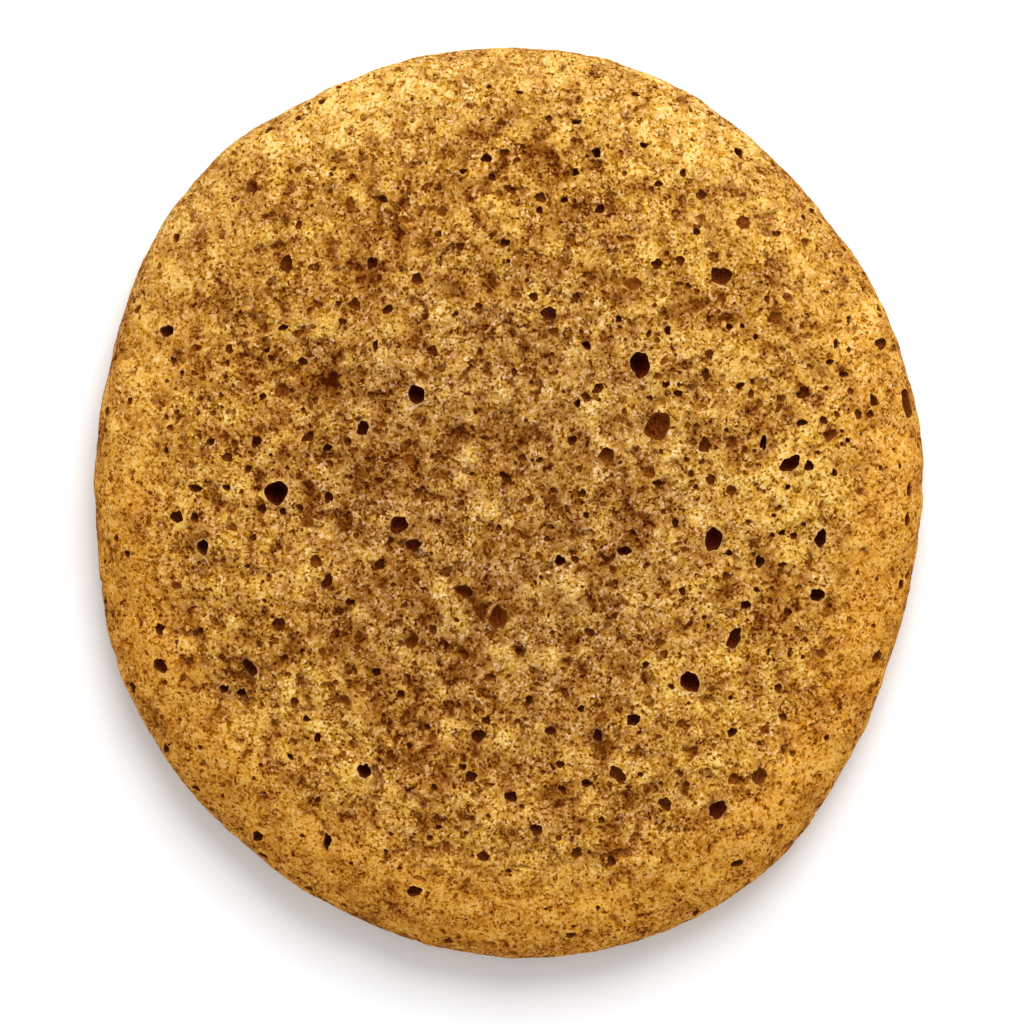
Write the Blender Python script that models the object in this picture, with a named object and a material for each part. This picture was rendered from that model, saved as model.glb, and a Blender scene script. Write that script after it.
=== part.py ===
"""A soft-baked peanut butter cookie, lying flat with its baked face up.

The cookie is one solid. A turned section is laid round an uneven oval outline, low swells are
raised on it, and burst bubbles are hollowed out of its face, its side and its underside.
The origin is at the centre of the flat base. +Z is up, and the cookie is longest along Y.
"""

import math
import random

import bmesh
import bpy
import numpy as np
from mathutils import Matrix, Vector, noise
from mathutils.bvhtree import BVHTree

MM = 0.001

# Driving dimensions
MEAN_RADIUS = 39.6 * MM
THICKNESS = 10.0 * MM
WIDEST_HEIGHT = 3.6 * MM
BASE_SHARE = 0.945

# The outline's unevenness: how many lobes go round, how far they stand out, where one of them points
OUTLINE_LOBES = (
    (2, 1.86 * MM, 96.8),
    (3, 0.17 * MM, 44.0),
    (4, 0.29 * MM, 28.5),
    (5, 0.28 * MM, 1.5),
    (6, 0.16 * MM, 15.5),
)

# The section: a crown that stays level to near the edge, a round shoulder, and a level base
CROWN_POWER = 6.0
SECTION_STEPS = 240
FACE_WEIGHT = 1.0
BASE_WEIGHT = 0.10
BODY_DETAIL = 5

# Swells of the face and side: the distance between them and how far they rise
SWELLS = (
    (17.0 * MM, 0.50 * MM),
    (6.5 * MM, 0.46 * MM),
    (3.4 * MM, 0.24 * MM),
)

# The share of those swells that the upright side has
SIDE_RELIEF = 0.45

# Nubs of risen crumb: where each one is, how far across it is, and how high it stands
NUBS = (
    (-0.5 * MM, -22.0 * MM, 2.9 * MM, 0.42 * MM),
    (-3.4 * MM, 24.0 * MM, 3.6 * MM, 0.30 * MM),
    (18.6 * MM, 30.2 * MM, 4.4 * MM, 0.34 * MM),
    (-21.0 * MM, 25.5 * MM, 3.8 * MM, 0.28 * MM),
    (11.8 * MM, -31.0 * MM, 4.0 * MM, 0.26 * MM),
)

# The burst bubbles that stand out on the face, in millimetres:
# across, along, width, length, turn of the length from +X in degrees, depth
FACE_BUBBLES = (
    (-20.9, 0.9, 1.9, 2.2, 75, 2.3),
    (11.8, 12.4, 1.7, 2.3, 92, 2.2),
    (-8.3, 9.7, 1.4, 1.7, 95, 2.0),
    (16.3, -16.1, 1.5, 2.0, 125, 2.0),
    (18.4, -3.3, 1.5, 2.1, 85, 1.9),
    (25.3, 3.5, 1.2, 1.9, 33, 1.6),
    (28.1, -3.2, 1.0, 1.6, 74, 1.7),
    (27.8, -8.3, 1.1, 1.3, 170, 1.7),
    (18.8, -27.6, 1.3, 1.8, 40, 1.4),
    (20.3, -12.2, 1.0, 2.1, 68, 1.3),
    (13.4, 6.9, 2.2, 2.6, 80, 0.9),
    (19.1, 20.4, 1.5, 1.9, 160, 1.0),
    (-9.9, -2.0, 1.4, 1.7, 30, 1.4),
    (-8.6, -3.8, 1.1, 1.3, 25, 1.2),
    (-0.9, -10.3, 1.8, 1.9, 90, 0.9),
    (8.8, 4.2, 1.4, 1.5, 150, 0.7),
    (-23.3, -14.8, 1.0, 1.7, 132, 1.2),
    (-31.4, -14.7, 1.1, 1.5, 130, 1.0),
    (-27.5, -4.0, 1.1, 1.3, 75, 1.5),
    (-30.9, 15.5, 1.1, 1.2, 160, 1.6),
    (-13.0, -24.1, 1.1, 1.3, 96, 1.7),
    (-13.1, 6.7, 1.0, 1.3, 90, 1.5),
    (-16.4, -30.5, 0.7, 1.4, 85, 1.4),
    (-8.5, -35.0, 0.9, 1.4, 5, 1.1),
    (-8.7, -12.4, 1.2, 1.4, 75, 0.7),
    (11.2, -19.5, 0.9, 1.3, 20, 1.4),
    (9.8, -24.4, 1.1, 1.7, 140, 0.7),
    (22.6, -24.6, 1.3, 1.5, 50, 0.6),
    (3.6, 17.0, 1.2, 1.3, 150, 1.1),
    (36.0, 9.0, 1.3, 2.8, 102, 1.0),
)

# Smaller bubbles that still stand out on the face, in the same terms
SMALL_FACE_BUBBLES = (
    (21.3, -9.2, 0.7, 0.95, 10, 1.2),
    (8.0, -20.9, 0.85, 1.0, 80, 1.2),
    (4.6, -5.2, 0.85, 0.95, 70, 1.3),
    (7.9, 31.5, 0.75, 0.95, 80, 1.4),
    (-11.6, -5.5, 0.85, 1.0, 60, 0.9),
    (10.4, -4.3, 0.8, 1.15, 5, 1.2),
    (22.6, -5.3, 0.75, 1.1, 85, 1.2),
    (26.5, 9.9, 1.0, 1.2, 60, 0.8),
    (28.9, 6.1, 1.0, 1.3, 20, 0.6),
    (22.9, 5.4, 0.6, 1.2, 80, 1.4),
    (-12.3, 21.6, 0.9, 1.1, 70, 1.2),
    (-2.0, 31.0, 0.8, 0.9, 0, 1.0),
    (-31.5, -11.4, 0.8, 1.0, 120, 0.8),
    (-28.2, 1.3, 0.6, 1.35, 0, 0.9),
    (-16.3, -7.0, 0.85, 1.2, 70, 1.0),
    (-22.7, 5.5, 0.8, 1.0, 60, 1.0),
    (-16.2, 0.5, 0.75, 0.95, 90, 0.9),
    (17.6, 5.2, 1.0, 1.3, 90, 0.7),
    (20.8, 31.6, 0.8, 1.1, 120, 1.1),
    (8.2, 26.4, 0.75, 0.85, 80, 1.0),
    (0.2, -26.4, 0.9, 1.1, 170, 1.0),
    (2.5, -29.4, 1.0, 1.1, 0, 0.8),
    (-2.3, -31.8, 0.9, 1.0, 0, 0.6),
    (6.1, -31.5, 0.9, 1.0, 45, 0.6),
    (7.0, -25.2, 0.75, 0.85, 0, 0.9),
    (-3.4, -24.6, 0.9, 1.1, 0, 0.8),
    (-11.9, -15.2, 0.7, 0.85, 10, 1.0),
    (36.2, 1.2, 0.6, 1.3, 85, 0.7),
)

# Bubbles scattered by chance: how many, and their least and greatest width and depth
FACE_SCATTER = 20
SIDE_SCATTER = 12
BASE_SCATTER = 8
SMALL_WIDTH = (0.70 * MM, 1.15 * MM)
SMALL_DEPTH_SHARE = (0.45, 1.05)
SMALL_STRETCH = (1.0, 1.5)
BUBBLE_GAP = 0.45 * MM
BASE_CLEAR_RADIUS = 9.0 * MM
SCATTER_SEED = 7

# A bubble's centre lies this share of its height under the surface, so its mouth is narrower than it is
BUBBLE_SINK = 0.40
LARGE_BUBBLE_DETAIL = 2
SMALL_BUBBLE_SIDES = 6
SMALL_BUBBLE_RINGS = 4

CRUMB_COLOUR = (0.52, 0.25, 0.055, 1.0)
CRUMB_ROUGHNESS = 0.86


def outline_radius(angle):
    """The cookie's widest radius in the direction of an angle from +X."""
    lobes = (size * math.cos(count * (angle - math.radians(turn))) for count, size, turn in OUTLINE_LOBES)
    return MEAN_RADIUS + sum(lobes)


def section_table():
    """The section from the middle of the face, over the shoulder, to the middle of the base.

    The columns are the share of the radius, the height, the outward slope across and up, and
    the share of all the surface that lies above, which spreads the body's points.
    """
    turn = np.linspace(0.0, math.pi, SECTION_STEPS)
    upper = turn < math.pi / 2
    crown = np.sin(np.clip(turn, 0.0, math.pi / 2)) ** (2.0 / CROWN_POWER)
    tuck = BASE_SHARE + (1.0 - BASE_SHARE) * np.sin(turn)
    share = np.where(upper, crown, tuck)
    rise = THICKNESS - WIDEST_HEIGHT
    height = WIDEST_HEIGHT + np.where(upper, rise, WIDEST_HEIGHT) * np.cos(turn)

    base = np.linspace(BASE_SHARE, 0.0, SECTION_STEPS // 2)[1:]
    share = np.append(share, base)
    height = np.append(height, np.zeros(len(base)))

    across = np.gradient(share * MEAN_RADIUS)
    up = np.gradient(height)
    length = np.hypot(across, up)
    slope_out = np.where(height > 0.0, -up / length, 0.0)
    slope_up = np.where(height > 0.0, across / length, -1.0)

    weight = np.where(height > 0.0, FACE_WEIGHT, BASE_WEIGHT)
    area = np.cumsum(share * length * weight)
    area = (area - area[0]) / (area[-1] - area[0])
    return share, height, slope_out, slope_up, area


def relief(point):
    """How far the face and side stand out from the plain section at a point."""
    height = sum(size * noise.noise(point / spacing) for spacing, size in SWELLS)
    for x, y, width, rise in NUBS:
        distance = math.hypot(point.x - x, point.y - y) / width
        height += rise * math.exp(-4.0 * distance * distance)
    return height


def cookie_body(collection):
    """The whole cookie before its bubbles: an icosphere laid over the section and outline."""
    bpy.ops.mesh.primitive_ico_sphere_add(subdivisions=BODY_DETAIL, radius=1.0)
    body = bpy.context.active_object
    body.name = body.data.name = "cookie"
    for other in body.users_collection:
        other.objects.unlink(body)
    collection.objects.link(body)

    share, height, slope_out, slope_up, area = section_table()
    for vertex in body.data.vertices:
        direction = vertex.co.normalized()
        above = (1.0 - direction.z) / 2.0
        angle = math.atan2(direction.y, direction.x)
        radius = outline_radius(angle) * np.interp(above, area, share)
        level = np.interp(above, area, height)
        point = Vector((radius * math.cos(angle), radius * math.sin(angle), level))

        out = np.interp(above, area, slope_out)
        up = np.interp(above, area, slope_up)
        outward = Vector((out * math.cos(angle), out * math.sin(angle), up)).normalized()
        fade = min(1.0, level / WIDEST_HEIGHT) * (SIDE_RELIEF + (1.0 - SIDE_RELIEF) * max(0.0, up))
        vertex.co = point + outward * relief(point) * fade
        vertex.co.z = max(0.0, vertex.co.z)

    centre_on_base(body.data)
    body.data.shade_smooth()
    return body


def centre_on_base(mesh):
    """Moves the mesh so that the middle of its footprint is at the origin."""
    corners = np.array([vertex.co for vertex in mesh.vertices])
    middle = (corners.min(axis=0) + corners.max(axis=0)) / 2.0
    mesh.transform(Matrix.Translation((-middle[0], -middle[1], 0.0)))


def bubble_mesh(name, large):
    """A ball one metre in radius, finer for the large bubbles."""
    ball = bmesh.new()
    if large:
        bmesh.ops.create_icosphere(ball, subdivisions=LARGE_BUBBLE_DETAIL, radius=1.0)
    else:
        bmesh.ops.create_uvsphere(
            ball, u_segments=SMALL_BUBBLE_SIDES, v_segments=SMALL_BUBBLE_RINGS, radius=1.0
        )
    mesh = bpy.data.meshes.new(name)
    ball.to_mesh(mesh)
    ball.free()
    return mesh


def place_bubble(mesh, surface, outward, width, length, turn, depth, cutters):
    """Sinks a ball into the surface so that its mouth is width by length and its floor is at depth."""
    mouth = math.sqrt(1.0 - BUBBLE_SINK**2)
    tall = depth / (1.0 + BUBBLE_SINK)
    scale = Matrix.Diagonal((length / 2.0 / mouth, width / 2.0 / mouth, tall, 1.0))
    stand = outward.to_track_quat("Z", "Y").to_matrix().to_4x4()
    along_x = stand.inverted() @ Vector((1.0, 0.0, 0.0, 0.0))
    heading = math.atan2(along_x.y, along_x.x)
    spin = Matrix.Rotation(heading + turn, 4, "Z")

    bubble = bpy.data.objects.new("bubble", mesh)
    centre = surface - outward * tall * BUBBLE_SINK
    bubble.matrix_world = Matrix.Translation(centre) @ stand @ spin @ scale
    bubble.hide_render = True
    bubble.display_type = "WIRE"
    cutters.objects.link(bubble)


class BubbleField:
    """The bubbles placed so far, kept apart from one another."""

    def __init__(self, body, cutters):
        self.body = body
        self.cutters = cutters
        self.surface = BVHTree.FromObject(body, bpy.context.evaluated_depsgraph_get())
        self.placed = []
        self.large = bubble_mesh("large_bubble", True)
        self.small = bubble_mesh("small_bubble", False)

    def add(self, origin, direction, width, length, turn, depth, large):
        """Hollows a bubble where a line from origin meets the cookie, unless it would meet another."""
        point, outward, _, _ = self.surface.ray_cast(origin, direction)
        if point is None:
            return False
        reach = length / 2.0
        for other, other_reach in self.placed:
            if (point - other).length < reach + other_reach + BUBBLE_GAP:
                return False
        mesh = self.large if large else self.small
        place_bubble(mesh, point, outward, width, length, turn, depth, self.cutters)
        self.placed.append((point, reach))
        return True


def small_bubble(rule):
    """The width, length, turn and depth of one scattered bubble. Small ones are the commoner."""
    least, most = SMALL_WIDTH
    width = least + (most - least) * rule.random() ** 2
    length = width * rule.uniform(*SMALL_STRETCH)
    return width, length, rule.uniform(0.0, math.pi), width * rule.uniform(*SMALL_DEPTH_SHARE)


def scatter(field, rule, count, aim):
    """Adds a number of small bubbles, each where aim says that one may lie."""
    left = count
    while left:
        origin, direction = aim(rule)
        if field.add(origin, direction, *small_bubble(rule), large=False):
            left -= 1


def aim_at_face(rule):
    """A line straight down on to the face, evenly spread over it."""
    angle = rule.uniform(0.0, 2.0 * math.pi)
    radius = outline_radius(angle) * 0.96 * math.sqrt(rule.random())
    origin = Vector((radius * math.cos(angle), radius * math.sin(angle), 2.0 * THICKNESS))
    return origin, Vector((0.0, 0.0, -1.0))


def aim_at_side(rule):
    """A level line inwards on to the side, anywhere round it."""
    angle = rule.uniform(0.0, 2.0 * math.pi)
    outward = Vector((math.cos(angle), math.sin(angle), 0.0))
    level = rule.uniform(0.20, 0.62) * THICKNESS
    return outward * 2.0 * MEAN_RADIUS + Vector((0.0, 0.0, level)), -outward


def aim_at_base(rule):
    """A line straight up into the base, clear of its middle."""
    angle = rule.uniform(0.0, 2.0 * math.pi)
    outer = outline_radius(angle) * 0.85
    radius = math.sqrt(rule.uniform(BASE_CLEAR_RADIUS**2, outer**2))
    origin = Vector((radius * math.cos(angle), radius * math.sin(angle), -THICKNESS))
    return origin, Vector((0.0, 0.0, 1.0))


def add_named(field, bubbles, large):
    """Adds the bubbles of a table, each where a line straight down meets the face."""
    for across, along, width, length, turn, depth in bubbles:
        origin = Vector((across * MM, along * MM, 2.0 * THICKNESS))
        sizes = (width * MM, length * MM, math.radians(turn), depth * MM)
        field.add(origin, Vector((0.0, 0.0, -1.0)), *sizes, large=large)


def burst_bubbles(body, cutters):
    """Hollows every bubble out of the body."""
    field = BubbleField(body, cutters)
    add_named(field, FACE_BUBBLES, large=True)
    add_named(field, SMALL_FACE_BUBBLES, large=False)

    rule = random.Random(SCATTER_SEED)
    scatter(field, rule, FACE_SCATTER, aim_at_face)
    scatter(field, rule, SIDE_SCATTER, aim_at_side)
    scatter(field, rule, BASE_SCATTER, aim_at_base)

    cut = body.modifiers.new("bubbles", "BOOLEAN")
    cut.operation = "DIFFERENCE"
    cut.operand_type = "COLLECTION"
    cut.collection = cutters


def crumb_material():
    """Golden-brown baked crumb."""
    material = bpy.data.materials.new("baked_crumb")
    material.use_nodes = True
    shader = material.node_tree.nodes["Principled BSDF"]
    shader.inputs["Base Color"].default_value = CRUMB_COLOUR
    shader.inputs["Roughness"].default_value = CRUMB_ROUGHNESS
    shader.inputs["Metallic"].default_value = 0.0
    return material


def new_collection(name):
    """A collection of that name in the scene."""
    collection = bpy.data.collections.new(name)
    bpy.context.scene.collection.children.link(collection)
    return collection


def clear_scene():
    """Removes whatever the scene holds."""
    for thing in list(bpy.data.objects):
        bpy.data.objects.remove(thing)


def main():
    """Builds the cookie."""
    clear_scene()
    cookie = new_collection("peanut_butter_cookie")
    cutters = new_collection("bubble_cutters")
    body = cookie_body(cookie)
    body.data.materials.append(crumb_material())
    burst_bubbles(body, cutters)


main()
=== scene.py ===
"""The finished look of a soft-baked peanut butter cookie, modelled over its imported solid.

A ball of fine triangles is laid over the same turned section and uneven outline as the solid, and
takes its swells and nubs. Burst bubbles are pushed into it as real hollows, fine crumb is raised
on it, and it is thinned to a mesh that keeps those edges. One procedural finish colours it, from
its golden rim to its toasted middle.

Lengths are in metres. +Z is up out of the pitted face, and the cookie is longest along Y.
"""

import logging
import math
import random
from dataclasses import dataclass, field
from enum import Enum

import bmesh
import bpy
import numpy as np
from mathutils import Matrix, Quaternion, Vector, noise
from mathutils.bvhtree import BVHTree
from mathutils.kdtree import KDTree


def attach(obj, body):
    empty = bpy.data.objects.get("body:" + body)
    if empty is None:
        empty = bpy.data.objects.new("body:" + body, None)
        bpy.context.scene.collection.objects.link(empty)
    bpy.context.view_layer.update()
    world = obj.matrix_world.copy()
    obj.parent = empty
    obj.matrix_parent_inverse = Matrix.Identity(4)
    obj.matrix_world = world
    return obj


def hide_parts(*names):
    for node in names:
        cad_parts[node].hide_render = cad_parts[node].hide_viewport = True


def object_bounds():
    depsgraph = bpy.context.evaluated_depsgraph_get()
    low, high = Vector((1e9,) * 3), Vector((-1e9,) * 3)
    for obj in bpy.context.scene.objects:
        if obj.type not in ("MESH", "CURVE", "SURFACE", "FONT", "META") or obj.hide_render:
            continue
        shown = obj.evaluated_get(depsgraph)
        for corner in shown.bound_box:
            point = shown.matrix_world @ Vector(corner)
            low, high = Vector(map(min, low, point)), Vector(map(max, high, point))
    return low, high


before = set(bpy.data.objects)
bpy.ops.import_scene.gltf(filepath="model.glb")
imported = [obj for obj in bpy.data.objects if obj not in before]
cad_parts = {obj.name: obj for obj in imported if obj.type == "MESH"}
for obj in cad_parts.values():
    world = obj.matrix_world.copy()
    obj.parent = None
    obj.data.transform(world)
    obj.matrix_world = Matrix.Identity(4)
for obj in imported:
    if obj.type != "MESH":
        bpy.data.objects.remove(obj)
SOLID_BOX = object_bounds()

MM = 0.001
STUDIO_LIGHT = 1.18

Socket = bpy.types.NodeSocket
Value = Socket | float | tuple[float, ...]

log = logging.getLogger("cookie")


class Opening(Enum):
    """The part of the cookie that a bubble opens on."""

    FACE = "face"
    SIDE = "side"
    BASE = "base"


def linear(red: int, green: int, blue: int) -> tuple[float, float, float, float]:
    """A colour as shaders take it, from how it looks under the studio's light.

    Args:
        red: Red as screens show it, 0 to 255.
        green: Green as screens show it.
        blue: Blue as screens show it.

    Returns:
        Red, green, blue and a full alpha, in linear light.
    """
    shares = (value / 255.0 for value in (red, green, blue))
    lights = [s / 12.92 if s <= 0.04045 else ((s + 0.055) / 1.055) ** 2.4 for s in shares]
    return (*(light / STUDIO_LIGHT for light in lights), 1.0)


def noise_at(points: np.ndarray, spacing: float) -> np.ndarray:
    """Smooth noise at every point, from about -1 to 1.

    Args:
        points: Places, one a row.
        spacing: The distance between the noise's lumps.

    Returns:
        One value for each point.
    """
    return np.array([noise.noise(place) for place in (points / spacing).tolist()])


def smooth_step(values: np.ndarray, low: float, high: float) -> np.ndarray:
    """Values turned into a soft step from 0 at low to 1 at high.

    Args:
        values: The values to turn.
        low: Where the step starts.
        high: Where the step ends.

    Returns:
        The step at each value.
    """
    share = np.clip((values - low) / (high - low), 0.0, 1.0)
    return share * share * (3.0 - 2.0 * share)


def ball_mesh(name: str, detail: int) -> bpy.types.Mesh:
    """A ball one metre in radius, of evenly spread triangles.

    Args:
        name: The mesh's name.
        detail: How many times its faces are divided.

    Returns:
        The new mesh.
    """
    ball = bmesh.new()
    bmesh.ops.create_icosphere(ball, subdivisions=detail, radius=1.0)
    mesh = bpy.data.meshes.new(name)
    ball.to_mesh(mesh)
    ball.free()
    return mesh


def points_of(mesh: bpy.types.Mesh) -> np.ndarray:
    """The places of a mesh's vertices, one a row."""
    flat = np.empty(len(mesh.vertices) * 3, dtype=np.float32)
    mesh.vertices.foreach_get("co", flat)
    return flat.reshape(-1, 3).astype(float)


def move_points(mesh: bpy.types.Mesh, points: np.ndarray) -> None:
    """Moves a mesh's vertices to those places, one a row."""
    mesh.vertices.foreach_set("co", points.astype(np.float32).ravel())
    mesh.update()


@dataclass(frozen=True)
class Laid:
    """A ball's points laid over the cookie's section.

    Attributes:
        points: The places on the plain section, one a row.
        outward: The way out of the surface at each.
        level: The height of each.
        reach: 0 at the middle of the face, 1 at the widest, and 2 at the middle of the base.
    """

    points: np.ndarray
    outward: np.ndarray
    level: np.ndarray
    reach: np.ndarray


@dataclass(frozen=True)
class Section:
    """The plain cookie: a turned section laid round an uneven oval outline.

    Attributes:
        mean_radius: The mean of the widest radius.
        thickness: The height of the plain face.
        widest_height: The height at which the cookie is widest.
        base_share: The flat base's share of the widest radius.
        crown_power: How level the crown stays before it rounds over.
        steps: How many steps the section is worked out in, from the face to the base.
        lobes: The outline's unevenness: lobes round it, how far out they stand, and in degrees
            where one of them points.
    """

    mean_radius: float = 39.6 * MM
    thickness: float = 10.0 * MM
    widest_height: float = 3.6 * MM
    base_share: float = 0.945
    crown_power: float = 6.0
    steps: int = 240
    lobes: tuple[tuple[int, float, float], ...] = (
        (2, 1.86 * MM, 96.8),
        (3, 0.17 * MM, 44.0),
        (4, 0.29 * MM, 28.5),
        (5, 0.28 * MM, 1.5),
        (6, 0.16 * MM, 15.5),
    )

    def outline_radius(self, angle: np.ndarray | float) -> np.ndarray | float:
        """The widest radius in the direction of an angle from +X."""
        lobes = (size * np.cos(count * (angle - math.radians(turn))) for count, size, turn in self.lobes)
        return self.mean_radius + sum(lobes)

    def lay(self, directions: np.ndarray, base_weight: float) -> Laid:
        """Lays points of a ball over the section and the outline.

        Args:
            directions: Unit vectors from the ball's middle, one a row.
            base_weight: How closely the points lie on the base, beside 1 on the rest.

        Returns:
            The laid points and what is known of each.
        """
        turn = np.linspace(0.0, math.pi, self.steps)
        upper = turn < math.pi / 2
        crown = np.sin(np.clip(turn, 0.0, math.pi / 2)) ** (2.0 / self.crown_power)
        tuck = self.base_share + (1.0 - self.base_share) * np.sin(turn)
        share = np.where(upper, crown, tuck)
        rise = self.thickness - self.widest_height
        height = self.widest_height + np.where(upper, rise, self.widest_height) * np.cos(turn)
        reach = np.where(upper, share, 2.0 - share)

        base = np.linspace(self.base_share, 0.0, self.steps // 2)[1:]
        share = np.append(share, base)
        height = np.append(height, np.zeros(len(base)))
        reach = np.append(reach, 2.0 - base)

        across = np.gradient(share * self.mean_radius)
        up = np.gradient(height)
        length = np.hypot(across, up)
        slope_out = np.where(height > 0.0, -up / length, 0.0)
        slope_up = np.where(height > 0.0, across / length, -1.0)
        weight = np.where(height > 0.0, 1.0, base_weight)
        area = np.cumsum(share * length * weight)
        area = (area - area[0]) / (area[-1] - area[0])

        above = (1.0 - directions[:, 2]) / 2.0
        angle = np.arctan2(directions[:, 1], directions[:, 0])
        heading = np.column_stack((np.cos(angle), np.sin(angle)))
        radius = self.outline_radius(angle) * np.interp(above, area, share)
        level = np.interp(above, area, height)
        points = np.column_stack((heading * radius[:, None], level))

        out = np.interp(above, area, slope_out)
        outward = np.column_stack((heading * out[:, None], np.interp(above, area, slope_up)))
        outward /= np.linalg.norm(outward, axis=1)[:, None]
        return Laid(points, outward, level, np.interp(above, area, reach))


@dataclass(frozen=True)
class Relief:
    """What stands out from the plain section.

    Attributes:
        swells: The distance between low swells and how far they rise.
        side_share: The share of those swells that the upright side has.
        nubs: Nubs of risen crumb: where each is, how far across, and how high it stands.
        nub_falloff: How steeply a nub falls away.
        crumb: The finer lumps of the crumb: the distance between them and how far they rise.
        crumb_shape: How much a lump's height follows its noise, and how far it is lowered again.
        pits: The ragged pits between the lumps: the distance between them, that of their ragged
            edges, how rough those are, and how deep the pits go.
        pit_bounds: Where on the noise a pit begins and where it is at its deepest.
        toast_pitting: How much readier a toasted patch is to have pits.
        rim_pitting: How much less ready the rim is to.
        rim_bounds: The reach at which the smoother rim begins and from which it is at its smoothest.
        rim_calm: The share of the crumb's lumps that the rim keeps.
        base_dents: The share of those lumps that are pressed into the base.
        patches: Patches of the face in millimetres: across, along, how far across, and how toasted
        they are. A toasted patch lies low and a pale one, under 0, lies high. The last rows lie on the
        rim and set its brightness place by place, as painted shade where toasted and painted light
        where pale.
        patch_falloff: How steeply a patch fades away.
        patch_depth: How far a wholly toasted patch lies under the face.
    """

    swells: tuple[tuple[float, float], ...] = (
        (17.0 * MM, 0.50 * MM),
        (6.5 * MM, 0.46 * MM),
        (3.4 * MM, 0.24 * MM),
    )
    side_share: float = 0.45
    nubs: tuple[tuple[float, float, float, float], ...] = (
        (-0.5 * MM, -22.0 * MM, 2.9 * MM, 0.42 * MM),
        (-3.4 * MM, 24.0 * MM, 3.6 * MM, 0.30 * MM),
        (18.6 * MM, 30.2 * MM, 4.4 * MM, 0.34 * MM),
        (-21.0 * MM, 25.5 * MM, 3.8 * MM, 0.28 * MM),
        (11.8 * MM, -31.0 * MM, 4.0 * MM, 0.26 * MM),
    )
    nub_falloff: float = 4.0
    crumb: tuple[tuple[float, float], ...] = (
        (3.1 * MM, 0.20 * MM),
        (1.5 * MM, 0.13 * MM),
        (0.8 * MM, 0.07 * MM),
    )
    crumb_shape: tuple[float, float] = (1.6, 0.45)
    pits: tuple[float, float, float, float] = (1.15 * MM, 0.5 * MM, 0.5, 0.24 * MM)
    pit_bounds: tuple[float, float] = (0.30, 0.58)
    toast_pitting: float = 0.10
    rim_pitting: float = 0.14
    rim_bounds: tuple[float, float] = (0.80, 0.93)
    rim_calm: float = 0.5
    base_dents: float = 0.6
    patches: tuple[tuple[float, float, float, float], ...] = (
        (-0.8, 16.2, 3.4, 0.9),
        (-15.6, 11.4, 4.4, 0.9),
        (-13.3, 21.9, 2.2, 0.8),
        (-19.0, 28.3, 3.6, 0.5),
        (-9.0, 25.0, 4.4, 0.6),
        (-1.2, 6.2, 2.4, 0.8),
        (-11.5, 3.6, 4.6, 0.35),
        (7.4, 18.4, 4.0, 0.7),
        (2.9, 27.1, 2.8, 0.6),
        (16.6, 16.4, 3.2, 0.6),
        (23.3, 7.0, 3.2, 0.7),
        (-8.0, -3.4, 3.6, 0.4),
        (4.2, -3.6, 3.0, 0.6),
        (-24.2, -16.2, 2.8, 0.9),
        (-14.6, -18.0, 5.2, 0.9),
        (-7.0, -15.0, 4.4, 0.7),
        (-9.4, -22.4, 4.4, 0.7),
        (7.6, -14.2, 5.4, 0.45),
        (20.6, -8.6, 2.8, 0.8),
        (4.4, -26.4, 2.8, 0.7),
        (9.6, -28.8, 3.4, 0.8),
        (12.0, 23.4, 3.0, -0.7),
        (11.0, 15.4, 2.6, -0.5),
        (24.6, 0.8, 3.6, -0.7),
        (20.0, 29.4, 4.0, -0.6),
        (19.4, 12.6, 3.6, -0.5),
        (-21.6, 17.4, 3.2, -0.5),
        (-0.5, -22.0, 1.9, -1.7),
        (5.4, -23.4, 2.6, -0.5),
        (-26.6, -21.2, 3.4, -0.5),
        (2.6, 22.0, 3.0, -0.4),
        (2.0, -20.0, 15.0, 0.10),
        (4.5, 0.5, 5.5, 0.60),
        (-5.5, -1.0, 4.5, -0.30),
        (4.5, -5.5, 3.0, -0.95),
        (5.5, 6.0, 3.5, -0.35),
        (12.5, -12.0, 5.0, 0.65),
        (-14.0, -27.0, 7.0, -0.50),
        (1.0, -32.0, 8.0, -0.35),
        (-21.0, 21.0, 8.0, 0.15),
        (24.0, 2.0, 12.0, -0.85),
        (19.0, -21.0, 8.0, -0.50),
        (14.0, 14.0, 6.0, -0.30),
        (24.0, 23.0, 6.0, -0.25),
        (-23.0, -19.0, 5.0, -0.25),
        (20.1, 13.0, 2.4, -0.6),
        (11.9, 21.2, 2.2, -0.6),
        (10.1, -23.4, 2.0, -0.6),
        (14.7, -17.0, 2.2, -0.5),
        (1.0, -14.3, 1.8, -0.5),
        (22.9, 7.5, 2.2, 0.7),
        (7.9, -20.6, 1.6, 0.8),
        (-12.5, 21.6, 1.8, 0.7),
        (-7.6, 28.0, 2.4, 0.5),
        (-17.1, 11.6, 2.6, 0.6),
        (-5.3, 5.7, 1.8, 0.7),
        (-25.3, -16.1, 2.0, 0.7),
        # From here on the rows lie on the rim and paint its light and shade: a toasted row darkens the rim
        # there as painted shade, and a pale one lightens it as painted light.
        (27.5, 26.5, 6.0, 0.35),
        (17.0, -35.0, 7.0, -0.40),
        (-13.5, 38.0, 4.5, -0.55),
        (-12.0, -39.5, 4.0, 0.65),
        (0.0, 36.0, 4.5, 0.40),
        (-28.5, 21.5, 5.0, 0.25),
        (38.0, -3.0, 4.0, -0.40),
        (-21.0, 35.5, 5.0, -0.75),
        (-32.5, 24.5, 5.0, -0.45),
        (-13.5, 31.5, 4.5, 0.35),
        (21.0, 30.0, 5.0, 0.40),
        (28.5, -24.5, 4.5, -0.60),
        (1.0, -43.5, 4.5, 0.60),
        (-33.5, -17.0, 6.0, -0.35),
        (-31.5, 17.0, 4.0, 0.25),
    )
    patch_falloff: float = 1.3
    patch_depth: float = 0.16 * MM

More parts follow.
